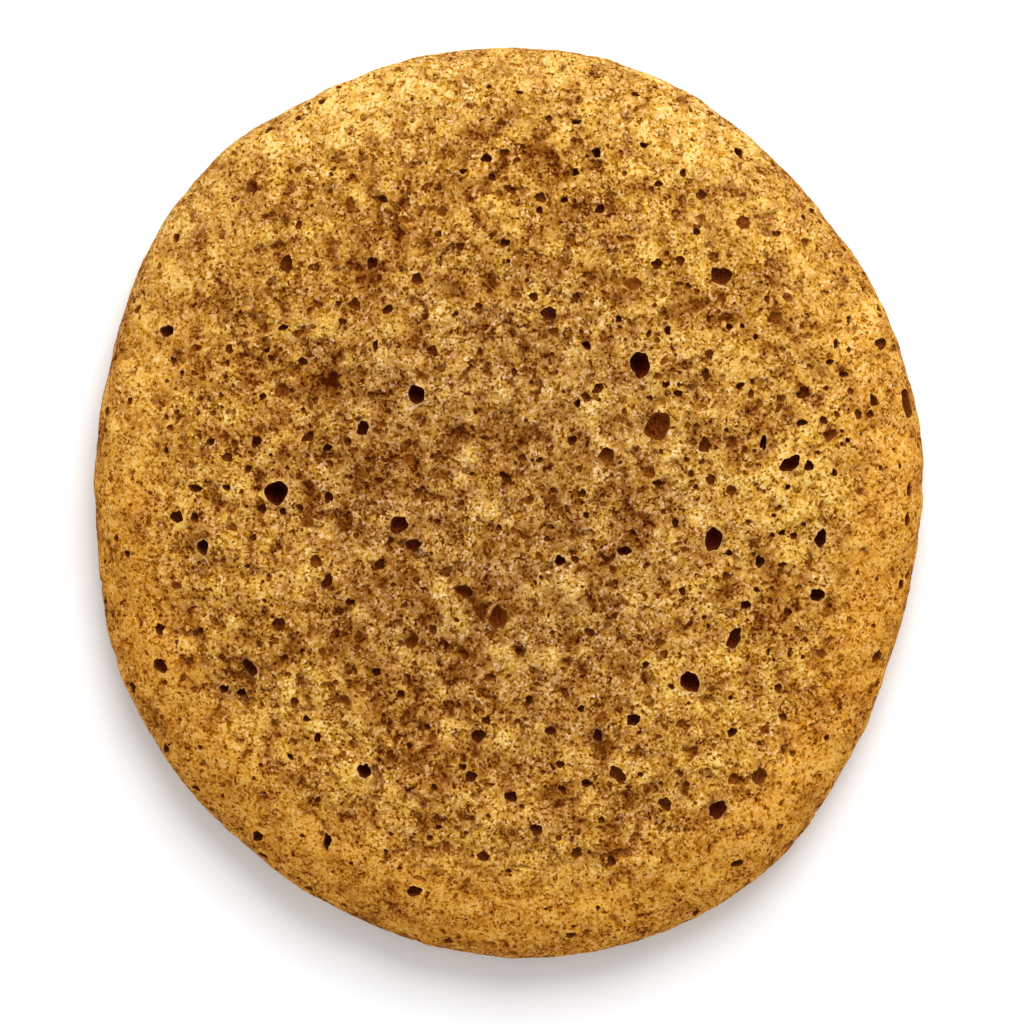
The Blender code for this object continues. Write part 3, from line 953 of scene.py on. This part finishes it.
@dataclass
class CookieBody:
    """The whole cookie as one closed mesh.

    Attributes:
        section: The plain cookie.
        relief: What stands out from it.
        bubbles: The sizes of its bubbles.
        guide_detail: The divisions of the ball that the solid is laid from.
        guide_base_weight: How closely that ball's points lie on the base.
        detail: The divisions of the ball that this mesh is laid from.
        base_weight: How closely this ball's points lie on the base.
        triangles: How many triangles the mesh is thinned to.
        crease_angle: The bend, in degrees, from which an edge is shaded sharp.
        untangling: How often triangles that cross one another may be smoothed.
    """

    section: Section = field(default_factory=Section)
    relief: Relief = field(default_factory=Relief)
    bubbles: BubbleRules = field(default_factory=BubbleRules)
    guide_detail: int = 5
    guide_base_weight: float = 0.10
    detail: int = 9
    base_weight: float = 0.25
    triangles: int = 196000
    crease_angle: float = 38.0
    untangling: int = 4

    def guide_surface(self) -> tuple[BVHTree, np.ndarray]:
        """The solid's surface before its bubbles.

        Returns:
            The surface to aim lines at, and how far it was moved to centre it.
        """
        mesh = ball_mesh("guide", self.guide_detail)
        directions = points_of(mesh)
        directions /= np.linalg.norm(directions, axis=1)[:, None]
        laid = self.section.lay(directions, self.guide_base_weight)
        points = self.relief.raise_swells(laid, self.section)
        middle = (points.min(axis=0) + points.max(axis=0)) / 2.0
        shift = np.array((-middle[0], -middle[1], 0.0))
        triangles = [tuple(face.vertices) for face in mesh.polygons]
        guide = BVHTree.FromPolygons((points + shift).tolist(), triangles, all_triangles=True)
        bpy.data.meshes.remove(mesh)
        return guide, shift

    def fit_to_solid(self, points: np.ndarray) -> np.ndarray:
        """Draws the points in or out by a hair so that they fill the solid's box exactly."""
        low, high = (np.array(corner) for corner in SOLID_BOX)
        least, most = points.min(axis=0), points.max(axis=0)
        return low + (points - least) * (high - low) / (most - least)

    def build(self) -> bpy.types.Object:
        """Models the cookie and thins it.

        Returns:
            The finished object, without its material.
        """
        guide, shift = self.guide_surface()
        field_of_bubbles = BubbleField(self.section, guide)
        field_of_bubbles.fill(self.bubbles)
        log.info("bubbles: %d", len(field_of_bubbles.bubbles))

        mesh = ball_mesh("cookie_dense", self.detail)
        directions = points_of(mesh)
        directions /= np.linalg.norm(directions, axis=1)[:, None]
        laid = self.section.lay(directions, self.base_weight)
        points = self.relief.raise_swells(laid, self.section) + shift
        raised, lumpiness, pit = self.relief.raise_crumb(points, laid)
        toast_and_rim_shade = self.relief.toast_and_rim_shade(raised)
        shell = Shell(raised)
        for bubble in field_of_bubbles.bubbles:
            shell.press(bubble)

        move_points(mesh, shell.points)
        values = {
            "hollow": shell.hollow,
            "mouth": shell.mouth,
            "lip": shell.lip,
            "reach": laid.reach,
            "toast_and_rim_shade": toast_and_rim_shade,
            "lump": lumpiness,
            "pit": pit,
        }
        for name, value in values.items():
            layer = mesh.attributes.new(name, "FLOAT", "POINT")
            layer.data.foreach_set("value", value.astype(np.float32))
        return self.thin(mesh)

    def thin(self, dense: bpy.types.Mesh) -> bpy.types.Object:
        """Thins the mesh where it is plain and keeps its triangles where it is pitted.

        Args:
            dense: The mesh to thin, which is then removed.

        Returns:
            The cookie's object, holding the thinned mesh.
        """
        cookie = bpy.data.objects.new("baked_cookie", dense)
        bpy.context.scene.collection.objects.link(cookie)
        thinning = cookie.modifiers.new("thinning", "DECIMATE")
        thinning.ratio = self.triangles / len(dense.polygons)
        evaluated = cookie.evaluated_get(bpy.context.evaluated_depsgraph_get())
        mesh = bpy.data.meshes.new_from_object(evaluated)
        cookie.modifiers.clear()
        cookie.data = mesh
        mesh.name = "baked_cookie"
        bpy.data.meshes.remove(dense)
        self.untangle(mesh)
        move_points(mesh, self.fit_to_solid(points_of(mesh)))
        mesh.shade_smooth()
        mesh.set_sharp_from_angle(angle=math.radians(self.crease_angle))
        return cookie

    def untangle(self, mesh: bpy.types.Mesh) -> None:
        """Smooths the few triangles that cross others where two bubbles nearly meet.

        Args:
            mesh: The thinned mesh.
        """
        shape = bmesh.new()
        shape.from_mesh(mesh)
        shape.faces.ensure_lookup_table()
        corners = [frozenset(corner.index for corner in face.verts) for face in shape.faces]
        for _ in range(self.untangling):
            tree = BVHTree.FromBMesh(shape)
            crossing = [pair for pair in tree.overlap(tree) if corners[pair[0]].isdisjoint(corners[pair[1]])]
            if not crossing:
                break
            tangled = {corner for pair in crossing for index in pair for corner in shape.faces[index].verts}
            verts = sorted(tangled, key=lambda corner: corner.index)
            bmesh.ops.smooth_vert(
                shape, verts=verts, factor=0.5, use_axis_x=True, use_axis_y=True, use_axis_z=True
            )
        shape.to_mesh(mesh)
        shape.free()


class NodeBench:
    """Lays out the nodes of one tree and joins them."""

    def __init__(self, tree: bpy.types.NodeTree) -> None:
        """Starts on a tree."""
        self.tree = tree

    def add(self, kind: str, settings: dict | None = None, **values: Value) -> bpy.types.Node:
        """Adds a node.

        Args:
            kind: The node's type.
            settings: Its own properties.
            **values: Its inputs by name, with _ for a space: a number, a colour or a socket.

        Returns:
            The new node.
        """
        node = self.tree.nodes.new(kind)
        for name, value in (settings or {}).items():
            setattr(node, name, value)
        for name, value in values.items():
            self.feed(node.inputs[name.replace("_", " ")], value)
        return node

    def feed(self, socket: Socket, value: Value) -> None:
        """Joins a socket to another, or sets its number or colour."""
        if isinstance(value, Socket):
            self.tree.links.new(value, socket)
        else:
            socket.default_value = value

    def calc(self, operation: str, *terms: Value, clamp: bool = False) -> Socket:
        """The result of some arithmetic on numbers or sockets.

        Args:
            operation: The operation's name, such as MULTIPLY.
            *terms: What it works on.
            clamp: Whether the result is kept between 0 and 1.

        Returns:
            The socket with the result.
        """
        node = self.add("ShaderNodeMath", {"operation": operation, "use_clamp": clamp})
        for socket, term in zip(node.inputs, terms):
            self.feed(socket, term)
        return node.outputs[0]

    def step(self, value: Value, low: float, high: float) -> Socket:
        """A soft step of a value, from 0 at low to 1 at high."""
        node = self.add("ShaderNodeMapRange", {"interpolation_type": "SMOOTHSTEP"}, Value=value,
                        From_Min=low, From_Max=high)
        return node.outputs["Result"]

    def blend(self, factor: Value, first: Value, second: Value, way: str = "MIX") -> Socket:
        """One colour mixed with another.

        Args:
            factor: The second colour's share.
            first: The first colour.
            second: The second colour.
            way: How they mix, such as MIX or MULTIPLY.

        Returns:
            The socket with the mixed colour.
        """
        node = self.add("ShaderNodeMix", {"data_type": "RGBA", "blend_type": way, "clamp_factor": True})
        for socket, value in zip((node.inputs[0], node.inputs[6], node.inputs[7]), (factor, first, second)):
            self.feed(socket, value)
        return node.outputs[2]

    def ramp(self, value: Value, stops: tuple) -> Socket:
        """A colour read off a scale.

        Args:
            value: The place on the scale, 0 to 1.
            stops: The scale's stops, each a place and a colour.

        Returns:
            The socket with the colour.
        """
        node = self.add("ShaderNodeValToRGB", Fac=value)
        elements = node.color_ramp.elements
        while len(elements) < len(stops):
            elements.new(0.5)
        for element, (place, colour) in zip(elements, stops):
            element.position = place
            element.color = colour
        return node.outputs["Color"]

    def known(self, name: str) -> Socket:
        """What the mesh knows of each point under that name."""
        return self.add("ShaderNodeAttribute", {"attribute_name": name}).outputs["Fac"]


def new_group(name: str, inputs: dict[str, str], outputs: dict[str, str]) -> bpy.types.NodeTree:
    """A shader node group with named inputs and outputs.

    Args:
        name: The group's name.
        inputs: The inputs' names and socket types.
        outputs: The outputs' names and socket types.

    Returns:
        The group, holding its input and output nodes.
    """
    group = bpy.data.node_groups.new(name, "ShaderNodeTree")
    for socket, kind in inputs.items():
        group.interface.new_socket(socket, in_out="INPUT", socket_type=kind)
    for socket, kind in outputs.items():
        group.interface.new_socket(socket, in_out="OUTPUT", socket_type=kind)
    group.nodes.new("NodeGroupInput")
    group.nodes.new("NodeGroupOutput")
    return group


# The noise that the crumb's patterns are cut from runs from 0 to 1 about 0.5, and grains from -1 to 1.
MOTTLE_SKEW = 1.5
GRANULE_SKEW = 0.2
HOLE_BOUNDS = (0.635, 0.685)
CREASE_BOUNDS = (0.008, 0.045)
CREASE_BREAKS = 0.45
BREAK_BOUNDS = (0.46, 0.60)


def mottle_group() -> bpy.types.NodeTree:
    """Patchy noise about nought: its Swing dips further than it rises."""
    number = "NodeSocketFloat"
    group = new_group(
        "crumb_mottle",
        {"Vector": "NodeSocketVector", "Scale": number, "Detail": number, "Strength": number},
        {"Swing": number},
    )
    bench = NodeBench(group)
    given = group.nodes["Group Input"].outputs
    pattern = bench.add(
        "ShaderNodeTexNoise", {"noise_dimensions": "3D"},
        Vector=given["Vector"], Scale=given["Scale"], Detail=given["Detail"],
    )
    centred = bench.calc("SUBTRACT", pattern.outputs["Fac"], 0.5)
    skewed = bench.calc("MULTIPLY", centred, bench.calc("MULTIPLY_ADD", centred, -MOTTLE_SKEW, 1.0))
    swing = bench.calc("MULTIPLY", skewed, given["Strength"])
    bench.feed(group.nodes["Group Output"].inputs["Swing"], swing)
    return group


def granule_group() -> bpy.types.NodeTree:
    """Grains of one tone each: its Swing is mostly small, and the darkest stand out furthest."""
    number = "NodeSocketFloat"
    group = new_group(
        "crumb_granules",
        {"Vector": "NodeSocketVector", "Scale": number, "Strength": number},
        {"Swing": number},
    )
    bench = NodeBench(group)
    given = group.nodes["Group Input"].outputs
    cells = bench.add(
        "ShaderNodeTexVoronoi", {"feature": "F1"}, Vector=given["Vector"], Scale=given["Scale"]
    )
    chance = bench.add("ShaderNodeSeparateColor", Color=cells.outputs["Color"]).outputs["Blue"]
    centred = bench.calc("MULTIPLY_ADD", chance, 2.0, -1.0)
    squared = bench.calc("MULTIPLY", centred, bench.calc("ABSOLUTE", centred))
    skewed = bench.calc("MULTIPLY_ADD", bench.calc("ABSOLUTE", squared), -GRANULE_SKEW, squared)
    swing = bench.calc("MULTIPLY", bench.calc("MULTIPLY", skewed, 0.5), given["Strength"])
    bench.feed(group.nodes["Group Output"].inputs["Swing"], swing)
    return group


def fleck_group() -> bpy.types.NodeTree:
    """Ragged holes and broken creases of the crumb, darkened partly as painted shade: Hole is 1 in a hole,
    Crease 1 in a crease.
    """
    number = "NodeSocketFloat"
    group = new_group(
        "crumb_flecks",
        {"Vector": "NodeSocketVector", "Scale": number},
        {"Hole": number, "Crease": number},
    )
    bench = NodeBench(group)
    given = group.nodes["Group Input"].outputs
    lumps = bench.add("ShaderNodeTexNoise", Vector=given["Vector"], Scale=given["Scale"], Detail=1.0)
    fac = lumps.outputs["Fac"]
    bench.feed(group.nodes["Group Output"].inputs["Hole"], bench.step(fac, *HOLE_BOUNDS))
    aside = bench.calc("ABSOLUTE", bench.calc("SUBTRACT", fac, 0.5))
    line = bench.calc("SUBTRACT", 1.0, bench.step(aside, *CREASE_BOUNDS))
    coarse = bench.calc("MULTIPLY", given["Scale"], CREASE_BREAKS)
    where = bench.add("ShaderNodeTexNoise", Vector=given["Vector"], Scale=coarse, Detail=1.0)
    broken = bench.calc("MULTIPLY", line, bench.step(where.outputs["Fac"], *BREAK_BOUNDS))
    bench.feed(group.nodes["Group Output"].inputs["Crease"], broken)
    return group


@dataclass(frozen=True)
class CrumbFinish:
    """Golden-brown baked crumb: fine-grained, darker in its hollows, partly as painted shade, paler and
    smoother at its rim, and with painted shade on the rim towards -Y.

    Attributes:
        tones: The crumb's colours from its darkest to its palest.
        middle: The mean tone of the middle.
        core_gain: How much paler the face is out towards its rim than in its middle.
        rim_gain: How much paler yet the rim is.
        lump_shade_gain: How much paler the tops of its lumps are, as painted light, and how much darker
            their creases, as painted shade.
        toast_and_shade_loss: How much darker a toasted patch is, and a patch of painted shade on the rim.
        pit_shade_loss: How much darker the ragged pits are: partly browner crumb and partly painted shade.
        under_loss: How much darker the side and the underside are.
        patch_tints: What the colours of its brown patches and of its golden ones are multiplied by.
        core_tint: What the middle's colour is multiplied by.
        ring_tint: What the colour between the middle and the rim is multiplied by.
        rim_shade_tints: What the rim's colour is multiplied by at its browner end, towards -Y, and at
            its golden one, towards +Y. The browner tint is partly the rim's warmer colour and partly
            painted shade on the side away from the key light.
        lit_from: How far towards its browner end the rim starts to turn golden, as a share: where its
            painted shade gives way to its lit colour.
        rim_bounds: The reach at which the rim's colour begins and from which it is whole.
        ring_bounds: The same for the colour between the middle and the rim.
        outer_bounds: The same for the paler face out towards the rim.
        under_bounds: The same for the darker side and underside.
        tone_bounds: The tone of a wholly brown patch, and that of a wholly golden one.
        mottles: The crumb's patchiness: the distance between patches, their detail and strength.
        mottle_calm: How much weaker that is at the rim.
        granules: Its grains: their size and how far they stand out.
        grain_calm: The least and greatest strength of those grains, from one place to another.
        calm_spacing: The distance between such places.
        calm_bounds: Where on the noise the calmest place lies, and where the roughest.
        rim_calm: How much fainter grains and flecks are at the rim.
        tone_calm: How strong they are in the darkest patch, and how much that grows with the tone.
        grain_tint: How far red, green and blue follow a grain's tone.
        flecks: The distances between the holes and creases too small for the mesh.
        hole_shade_loss: How much darker such a hole is: partly browner crumb and partly painted shade in a
            hole too small for the mesh to shade.
        crease_shade_loss: How much darker such a crease is: partly browner crumb and partly painted shade.
        lip_colour: The colour of a deep bubble's lip.
        lip_share: How much of it the lip has.
        walls: The colours of a bubble's wall from its lip down: partly the crumb's browner inside, and
            partly painted shade that darkens to near black at the deepest.
        wall_depth: How far down the last of those lies, in millimetres.
        wall_tint: How far red, green and blue follow a grain's tone on a wall.
        mouth_ragged: How far grains move the edge of a mouth, in millimetres.
        mouth_bounds: Where the wall's colour begins and is whole, in millimetres inside that edge.
        hole_sink: How deep a hole too small for the mesh is, beside a grain's tone.
        crease_sink: The same for a crease.
        bump_strength: How strongly grains and flecks bend the light.
        bump_height: How high a grain of full tone stands.
        roughness: The crumb's roughness.
        gloss: The level of its gloss, which is slight.
    """

    tones: tuple = (
        (0.14, linear(68, 20, 0)),
        (0.26, linear(106, 51, 4)),
        (0.36, linear(137, 82, 17)),
        (0.45, linear(165, 109, 38)),
        (0.52, linear(186, 131, 58)),
        (0.60, linear(208, 153, 83)),
        (0.70, linear(231, 178, 110)),
        (0.84, linear(247, 207, 149)),
    )
    middle: float = 0.556
    core_gain: float = 0.03
    rim_gain: float = 0.086
    lump_shade_gain: float = 0.135
    toast_and_shade_loss: float = 0.085
    pit_shade_loss: float = 0.17
    under_loss: float = 0.12
    patch_tints: tuple = ((1.0, 0.985, 1.40, 1.0), (1.0, 1.015, 0.66, 1.0))
    core_tint: tuple = (0.96, 1.0, 1.08, 1.0)
    ring_tint: tuple = (0.99, 0.98, 0.80, 1.0)
    rim_shade_tints: tuple = ((0.94, 0.745, 0.43, 1.0), (0.98, 0.995, 0.95, 1.0))
    lit_from: float = 0.25
    rim_bounds: tuple[float, float] = (0.74, 0.90)
    ring_bounds: tuple[float, float] = (0.30, 0.66)
    outer_bounds: tuple[float, float] = (0.15, 0.75)
    under_bounds: tuple[float, float] = (0.95, 1.07)
    tone_bounds: tuple[float, float] = (0.32, 0.68)
    mottles: tuple[tuple[float, float, float], ...] = (
        (14.0 * MM, 1.0, 0.12),
        (4.2 * MM, 4.0, 0.37),
        (1.7 * MM, 3.0, 0.55),
    )
    mottle_calm: float = 0.20
    granules: tuple[tuple[float, float], ...] = (
        (0.38 * MM, 0.17),
        (0.21 * MM, 0.41),
    )
    grain_calm: tuple[float, float] = (0.84, 1.20)
    calm_spacing: float = 2.5 * MM
    calm_bounds: tuple[float, float] = (0.36, 0.64)
    rim_calm: float = 0.08
    tone_calm: tuple[float, float] = (0.36, 1.2)
    grain_tint: tuple[float, float, float] = (-0.25, 0.0, 3.2)
    flecks: tuple[float, ...] = (0.40 * MM, 0.80 * MM)
    hole_shade_loss: float = 0.19
    crease_shade_loss: float = 0.08
    lip_colour: tuple = linear(234, 188, 122)
    lip_share: float = 0.4
    # Partly painted shade: the walls darken with depth, to near black at the deepest.
    walls: tuple = (
        (0.00, linear(142, 84, 24)),
        (0.06, linear(130, 69, 16)),
        (0.22, linear(112, 54, 13)),
        (0.50, linear(114, 45, 12)),
        (0.78, linear(100, 31, 12)),
        (1.00, linear(16, 9, 8)),
    )
    wall_depth: float = 2.4
    wall_tint: tuple[float, float, float] = (2.2, 2.8, 6.0)
    mouth_ragged: float = 0.22
    mouth_bounds: tuple[float, float] = (-0.03, 0.04)
    hole_sink: float = 0.6
    crease_sink: float = 0.3
    bump_strength: float = 0.55
    bump_height: float = 0.12 * MM
    roughness: float = 0.85
    gloss: float = 0.03

    def material(self) -> bpy.types.Material:
        """The finish as a material that reads Object coordinates and the mesh's own values."""
        material = bpy.data.materials.new("baked_crumb")
        material.use_nodes = True
        bench = NodeBench(material.node_tree)
        shader = material.node_tree.nodes["Principled BSDF"]
        place = bench.add("ShaderNodeTexCoord").outputs["Object"]

        rim = bench.step(bench.known("reach"), *self.rim_bounds)
        broad = self.broad_tone(bench, place, rim)
        least, growth = self.tone_calm
        rim_share = bench.calc("MULTIPLY_ADD", rim, -self.rim_calm, 1.0)
        calm = bench.calc("MULTIPLY", rim_share, bench.calc("MULTIPLY_ADD", broad, growth, least))
        grain = self.grain(bench, place)
        holes, creases = self.flecks_of(bench, place, calm)
        tone = bench.calc("MULTIPLY_ADD", grain, calm, broad)
        # Partly painted shade: creases and holes too small for the mesh are darkened.
        tone = bench.calc("MULTIPLY_ADD", creases, -self.crease_shade_loss, tone)
        tone = bench.calc("MULTIPLY_ADD", holes, -self.hole_shade_loss, tone)
        colour = bench.ramp(tone, self.tones)
        colour = self.tinted(bench, place, rim, broad, colour)
        colour = self.grained(bench, grain, colour, self.grain_tint)
        lip = bench.calc("MULTIPLY", bench.known("lip"), self.lip_share)
        colour = bench.blend(lip, colour, self.lip_colour)
        colour = self.walled(bench, grain, colour)

        height = bench.calc("MULTIPLY_ADD", holes, -self.hole_sink, grain)
        height = bench.calc("MULTIPLY_ADD", creases, -self.crease_sink, height)
        bump = bench.add(
            "ShaderNodeBump", Strength=self.bump_strength, Distance=self.bump_height, Height=height
        )
        bench.feed(shader.inputs["Base Color"], colour)
        bench.feed(shader.inputs["Normal"], bump.outputs["Normal"])
        shader.inputs["Roughness"].default_value = self.roughness
        shader.inputs["Specular IOR Level"].default_value = self.gloss
        return material

    def broad_tone(self, bench: NodeBench, place: Socket, rim: Socket) -> Socket:
        """How pale the crumb is before its grain.

        Args:
            bench: Where the nodes are laid out.
            place: The place on the cookie.
            rim: How much of the rim's look is there.

        Returns:
            The tone, about 0 to 1.
        """
        under = bench.step(bench.known("reach"), *self.under_bounds)
        outer = bench.step(bench.known("reach"), *self.outer_bounds)
        gains = (
            (rim, self.rim_gain),
            (outer, self.core_gain),
            # Painted light and shade: the lumps' tops are paler and their creases darker.
            (bench.known("lump"), self.lump_shade_gain),
            # Toasted patches darken the crumb; on the rim the same values are painted shade and painted
            # light.
            (bench.known("toast_and_rim_shade"), -self.toast_and_shade_loss),
            # Partly painted shade: the ragged pits are darker.
            (bench.known("pit"), -self.pit_shade_loss),
            (under, -self.under_loss),
        )
        tone = self.middle
        for value, gain in gains:
            tone = bench.calc("MULTIPLY_ADD", value, gain, tone)
        group = mottle_group()
        calm = bench.calc("MULTIPLY_ADD", rim, -self.mottle_calm, 1.0)
        for spacing, detail, strength in self.mottles:
            mottle = bench.add(
                "ShaderNodeGroup", {"node_tree": group},
                Vector=place, Scale=1.0 / spacing, Detail=detail, Strength=strength,
            )
            tone = bench.calc("MULTIPLY_ADD", mottle.outputs["Swing"], calm, tone)
        return tone

    def grain(self, bench: NodeBench, place: Socket) -> Socket:
        """How far each grain's tone lies from its neighbours', more in some places than in others.

        Args:
            bench: Where the nodes are laid out.
            place: The place on the cookie.

        Returns:
            The swing in tone, under 0 for a darker grain.
        """
        group = granule_group()
        swings = [
            bench.add(
                "ShaderNodeGroup", {"node_tree": group}, Vector=place, Scale=1.0 / size, Strength=strength
            ).outputs["Swing"]
            for size, strength in self.granules
        ]
        where = bench.add("ShaderNodeTexNoise", Vector=place, Scale=1.0 / self.calm_spacing, Detail=2.0)
        least, most = self.grain_calm
        share = bench.step(where.outputs["Fac"], *self.calm_bounds)
        return bench.calc("MULTIPLY", bench.calc("ADD", *swings),
                          bench.calc("MULTIPLY_ADD", share, most - least, least))

    def flecks_of(self, bench: NodeBench, place: Socket, calm: Socket) -> list[Socket]:
        """Where the holes and the creases too small for the mesh lie.

        Args:
            bench: Where the nodes are laid out.
            place: The place on the cookie.
            calm: How strong they are there.

        Returns:
            The holes' share and the creases' share.
        """
        group = fleck_group()
        sets = [
            bench.add("ShaderNodeGroup", {"node_tree": group}, Vector=place, Scale=1.0 / spacing).outputs
            for spacing in self.flecks
        ]
        return [
            bench.calc("MULTIPLY", bench.calc("MAXIMUM", *(outputs[name] for outputs in sets)), calm)
            for name in ("Hole", "Crease")
        ]

    def tinted(self, bench: NodeBench, place: Socket, rim: Socket, broad: Socket, colour: Socket) -> Socket:
        """The crumb's colour in each place.

        Args:
            bench: Where the nodes are laid out.
            place: The place on the cookie.
            rim: How much of the rim's look is there.
            broad: The tone before its grain.
            colour: The colour of that tone.

        Returns:
            It duller in brown patches and the middle, warmer at the rim, and browner at the rim's -Y end,
            away from the key light, as painted shade.
        """
        patch_tint = bench.blend(bench.step(broad, *self.tone_bounds), *self.patch_tints)
        # Painted shade: the rim takes its browner tint towards -Y, away from the key light, and turns golden
        # towards +Y, where the light falls.
        along = bench.add("ShaderNodeSeparateXYZ", Vector=place).outputs["Y"]
        golden = bench.step(along, self.lit_from * SOLID_BOX[0][1], SOLID_BOX[1][1])
        rim_shade_tint = bench.blend(golden, *self.rim_shade_tints)
        ring = bench.step(bench.known("reach"), *self.ring_bounds)
        face_tint = bench.blend(ring, self.core_tint, self.ring_tint)
        colour = bench.blend(1.0, colour, patch_tint, "MULTIPLY")
        return bench.blend(1.0, colour, bench.blend(rim, face_tint, rim_shade_tint), "MULTIPLY")

    def grained(self, bench: NodeBench, grain: Socket, colour: Socket, tint: tuple) -> Socket:
        """A colour that follows the grain.

        Args:
            bench: Where the nodes are laid out.
            grain: The grain's swing in tone.
            colour: The colour before it.
            tint: How far red, green and blue follow it.

        Returns:
            The socket with the grained colour.
        """
        shares = [bench.calc("MULTIPLY_ADD", grain, share, 1.0) for share in tint]
        gains = bench.add("ShaderNodeCombineColor", Red=shares[0], Green=shares[1], Blue=shares[2])
        return bench.blend(1.0, colour, gains.outputs["Color"], "MULTIPLY")

    def walled(self, bench: NodeBench, grain: Socket, colour: Socket) -> Socket:
        """The crumb's colour outside the bubbles' mouths, and that of their walls inside, which darken with
        depth partly as painted shade.

        Args:
            bench: Where the nodes are laid out.
            grain: The grain's swing in tone.
            colour: The crumb's colour.

        Returns:
            The socket with the whole colour.
        """
        # Partly painted shade: the deeper on a bubble's wall, the darker its colour.
        depth = bench.calc("DIVIDE", bench.known("hollow"), self.wall_depth, clamp=True)
        wall = self.grained(bench, grain, bench.ramp(depth, self.walls), self.wall_tint)
        inside = bench.calc("MULTIPLY_ADD", grain, self.mouth_ragged, bench.known("mouth"))
        return bench.blend(bench.step(inside, *self.mouth_bounds), colour, wall)


@dataclass(frozen=True)
class Studio:
    """A pale floor, soft light and a camera straight above.

    Attributes:
        view_width: How much of the floor's width the picture takes in, at the cookie's widest height.
        view_centre: The middle of the picture.
        view_height: The height at which that width is measured.
        focal_length: The lens, in millimetres.
        sensor: The width of the picture on the sensor, in millimetres.
        floor_size: The floor's width.
        floor_tone: How pale the floor is.
        key_angle: The way to the main light, in degrees from +X and above the floor.
        key_distance: How far off that light is.
        key_size: How wide it is.
        key_power: How strong it is, in watts.
        sky: The strength of the light from all round.
    """

    view_width: float = 93.1 * MM
    view_centre: tuple[float, float] = (0.32 * MM, -0.82 * MM)
    view_height: float = 3.6 * MM
    focal_length: float = 180.0
    sensor: float = 36.0
    floor_size: float = 3.0
    floor_tone: float = 0.93
    key_angle: tuple[float, float] = (76.0, 46.0)
    key_distance: float = 0.50
    key_size: float = 0.42
    key_power: float = 2.5
    sky: float = 0.74

    def floor(self) -> bpy.types.Object:
        """A plain pale floor under the cookie."""
        plane = bmesh.new()
        bmesh.ops.create_grid(plane, x_segments=1, y_segments=1, size=self.floor_size / 2.0)
        mesh = bpy.data.meshes.new("studio_floor")
        plane.to_mesh(mesh)
        plane.free()
        floor = bpy.data.objects.new("studio_floor", mesh)
        bpy.context.scene.collection.objects.link(floor)
        material = bpy.data.materials.new("studio_floor")
        material.use_nodes = True
        shader = material.node_tree.nodes["Principled BSDF"]
        shader.inputs["Base Color"].default_value = (*([self.floor_tone] * 3), 1.0)
        shader.inputs["Roughness"].default_value = 0.9
        shader.inputs["Specular IOR Level"].default_value = 0.1
        mesh.materials.append(material)
        return floor

    def light(self) -> None:
        """A broad main light from the top of the picture, and an even light from all round."""
        angle, height = (math.radians(value) for value in self.key_angle)
        level = math.cos(height)
        way = Vector((math.cos(angle) * level, math.sin(angle) * level, math.sin(height)))
        lamp = bpy.data.lights.new("key_light", "AREA")
        lamp.energy = self.key_power
        lamp.shape = "DISK"
        lamp.size = self.key_size
        key = bpy.data.objects.new("key_light", lamp)
        key.location = way * self.key_distance
        key.rotation_euler = way.to_track_quat("Z", "Y").to_euler()
        bpy.context.scene.collection.objects.link(key)

        world = bpy.data.worlds.new("studio")
        world.use_nodes = True
        background = world.node_tree.nodes["Background"]
        background.inputs["Color"].default_value = (1.0, 1.0, 1.0, 1.0)
        background.inputs["Strength"].default_value = self.sky
        bpy.context.scene.world = world

    def camera(self) -> bpy.types.Object:
        """A camera that looks straight down, with the cookie's length up the picture."""
        lens = bpy.data.cameras.new("camera")
        lens.lens = self.focal_length
        lens.sensor_width = self.sensor
        lens.clip_start = 0.01
        camera = bpy.data.objects.new("camera", lens)
        distance = self.view_width * self.focal_length / self.sensor
        camera.location = (*self.view_centre, self.view_height + distance)
        bpy.context.scene.collection.objects.link(camera)
        bpy.context.scene.camera = camera
        return camera

    def build(self) -> None:
        """Sets up the floor, the light, the camera and a plain rendering of colour."""
        self.floor()
        self.light()
        self.camera()
        bpy.context.scene.view_settings.view_transform = "Standard"


def main() -> None:
    """Builds the studio and the cookie, and reports each."""
    logging.basicConfig(level=logging.INFO, format="%(name)s: %(message)s")
    Studio().build()
    log.info("studio: floor, light and camera")

    cookie = CookieBody().build()
    cookie.data.materials.append(CrumbFinish().material())
    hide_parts("cookie")
    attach(cookie, "root")
    log.info("%s: %d triangles", cookie.name, len(cookie.data.polygons))


if __name__ == "__main__":
    main()
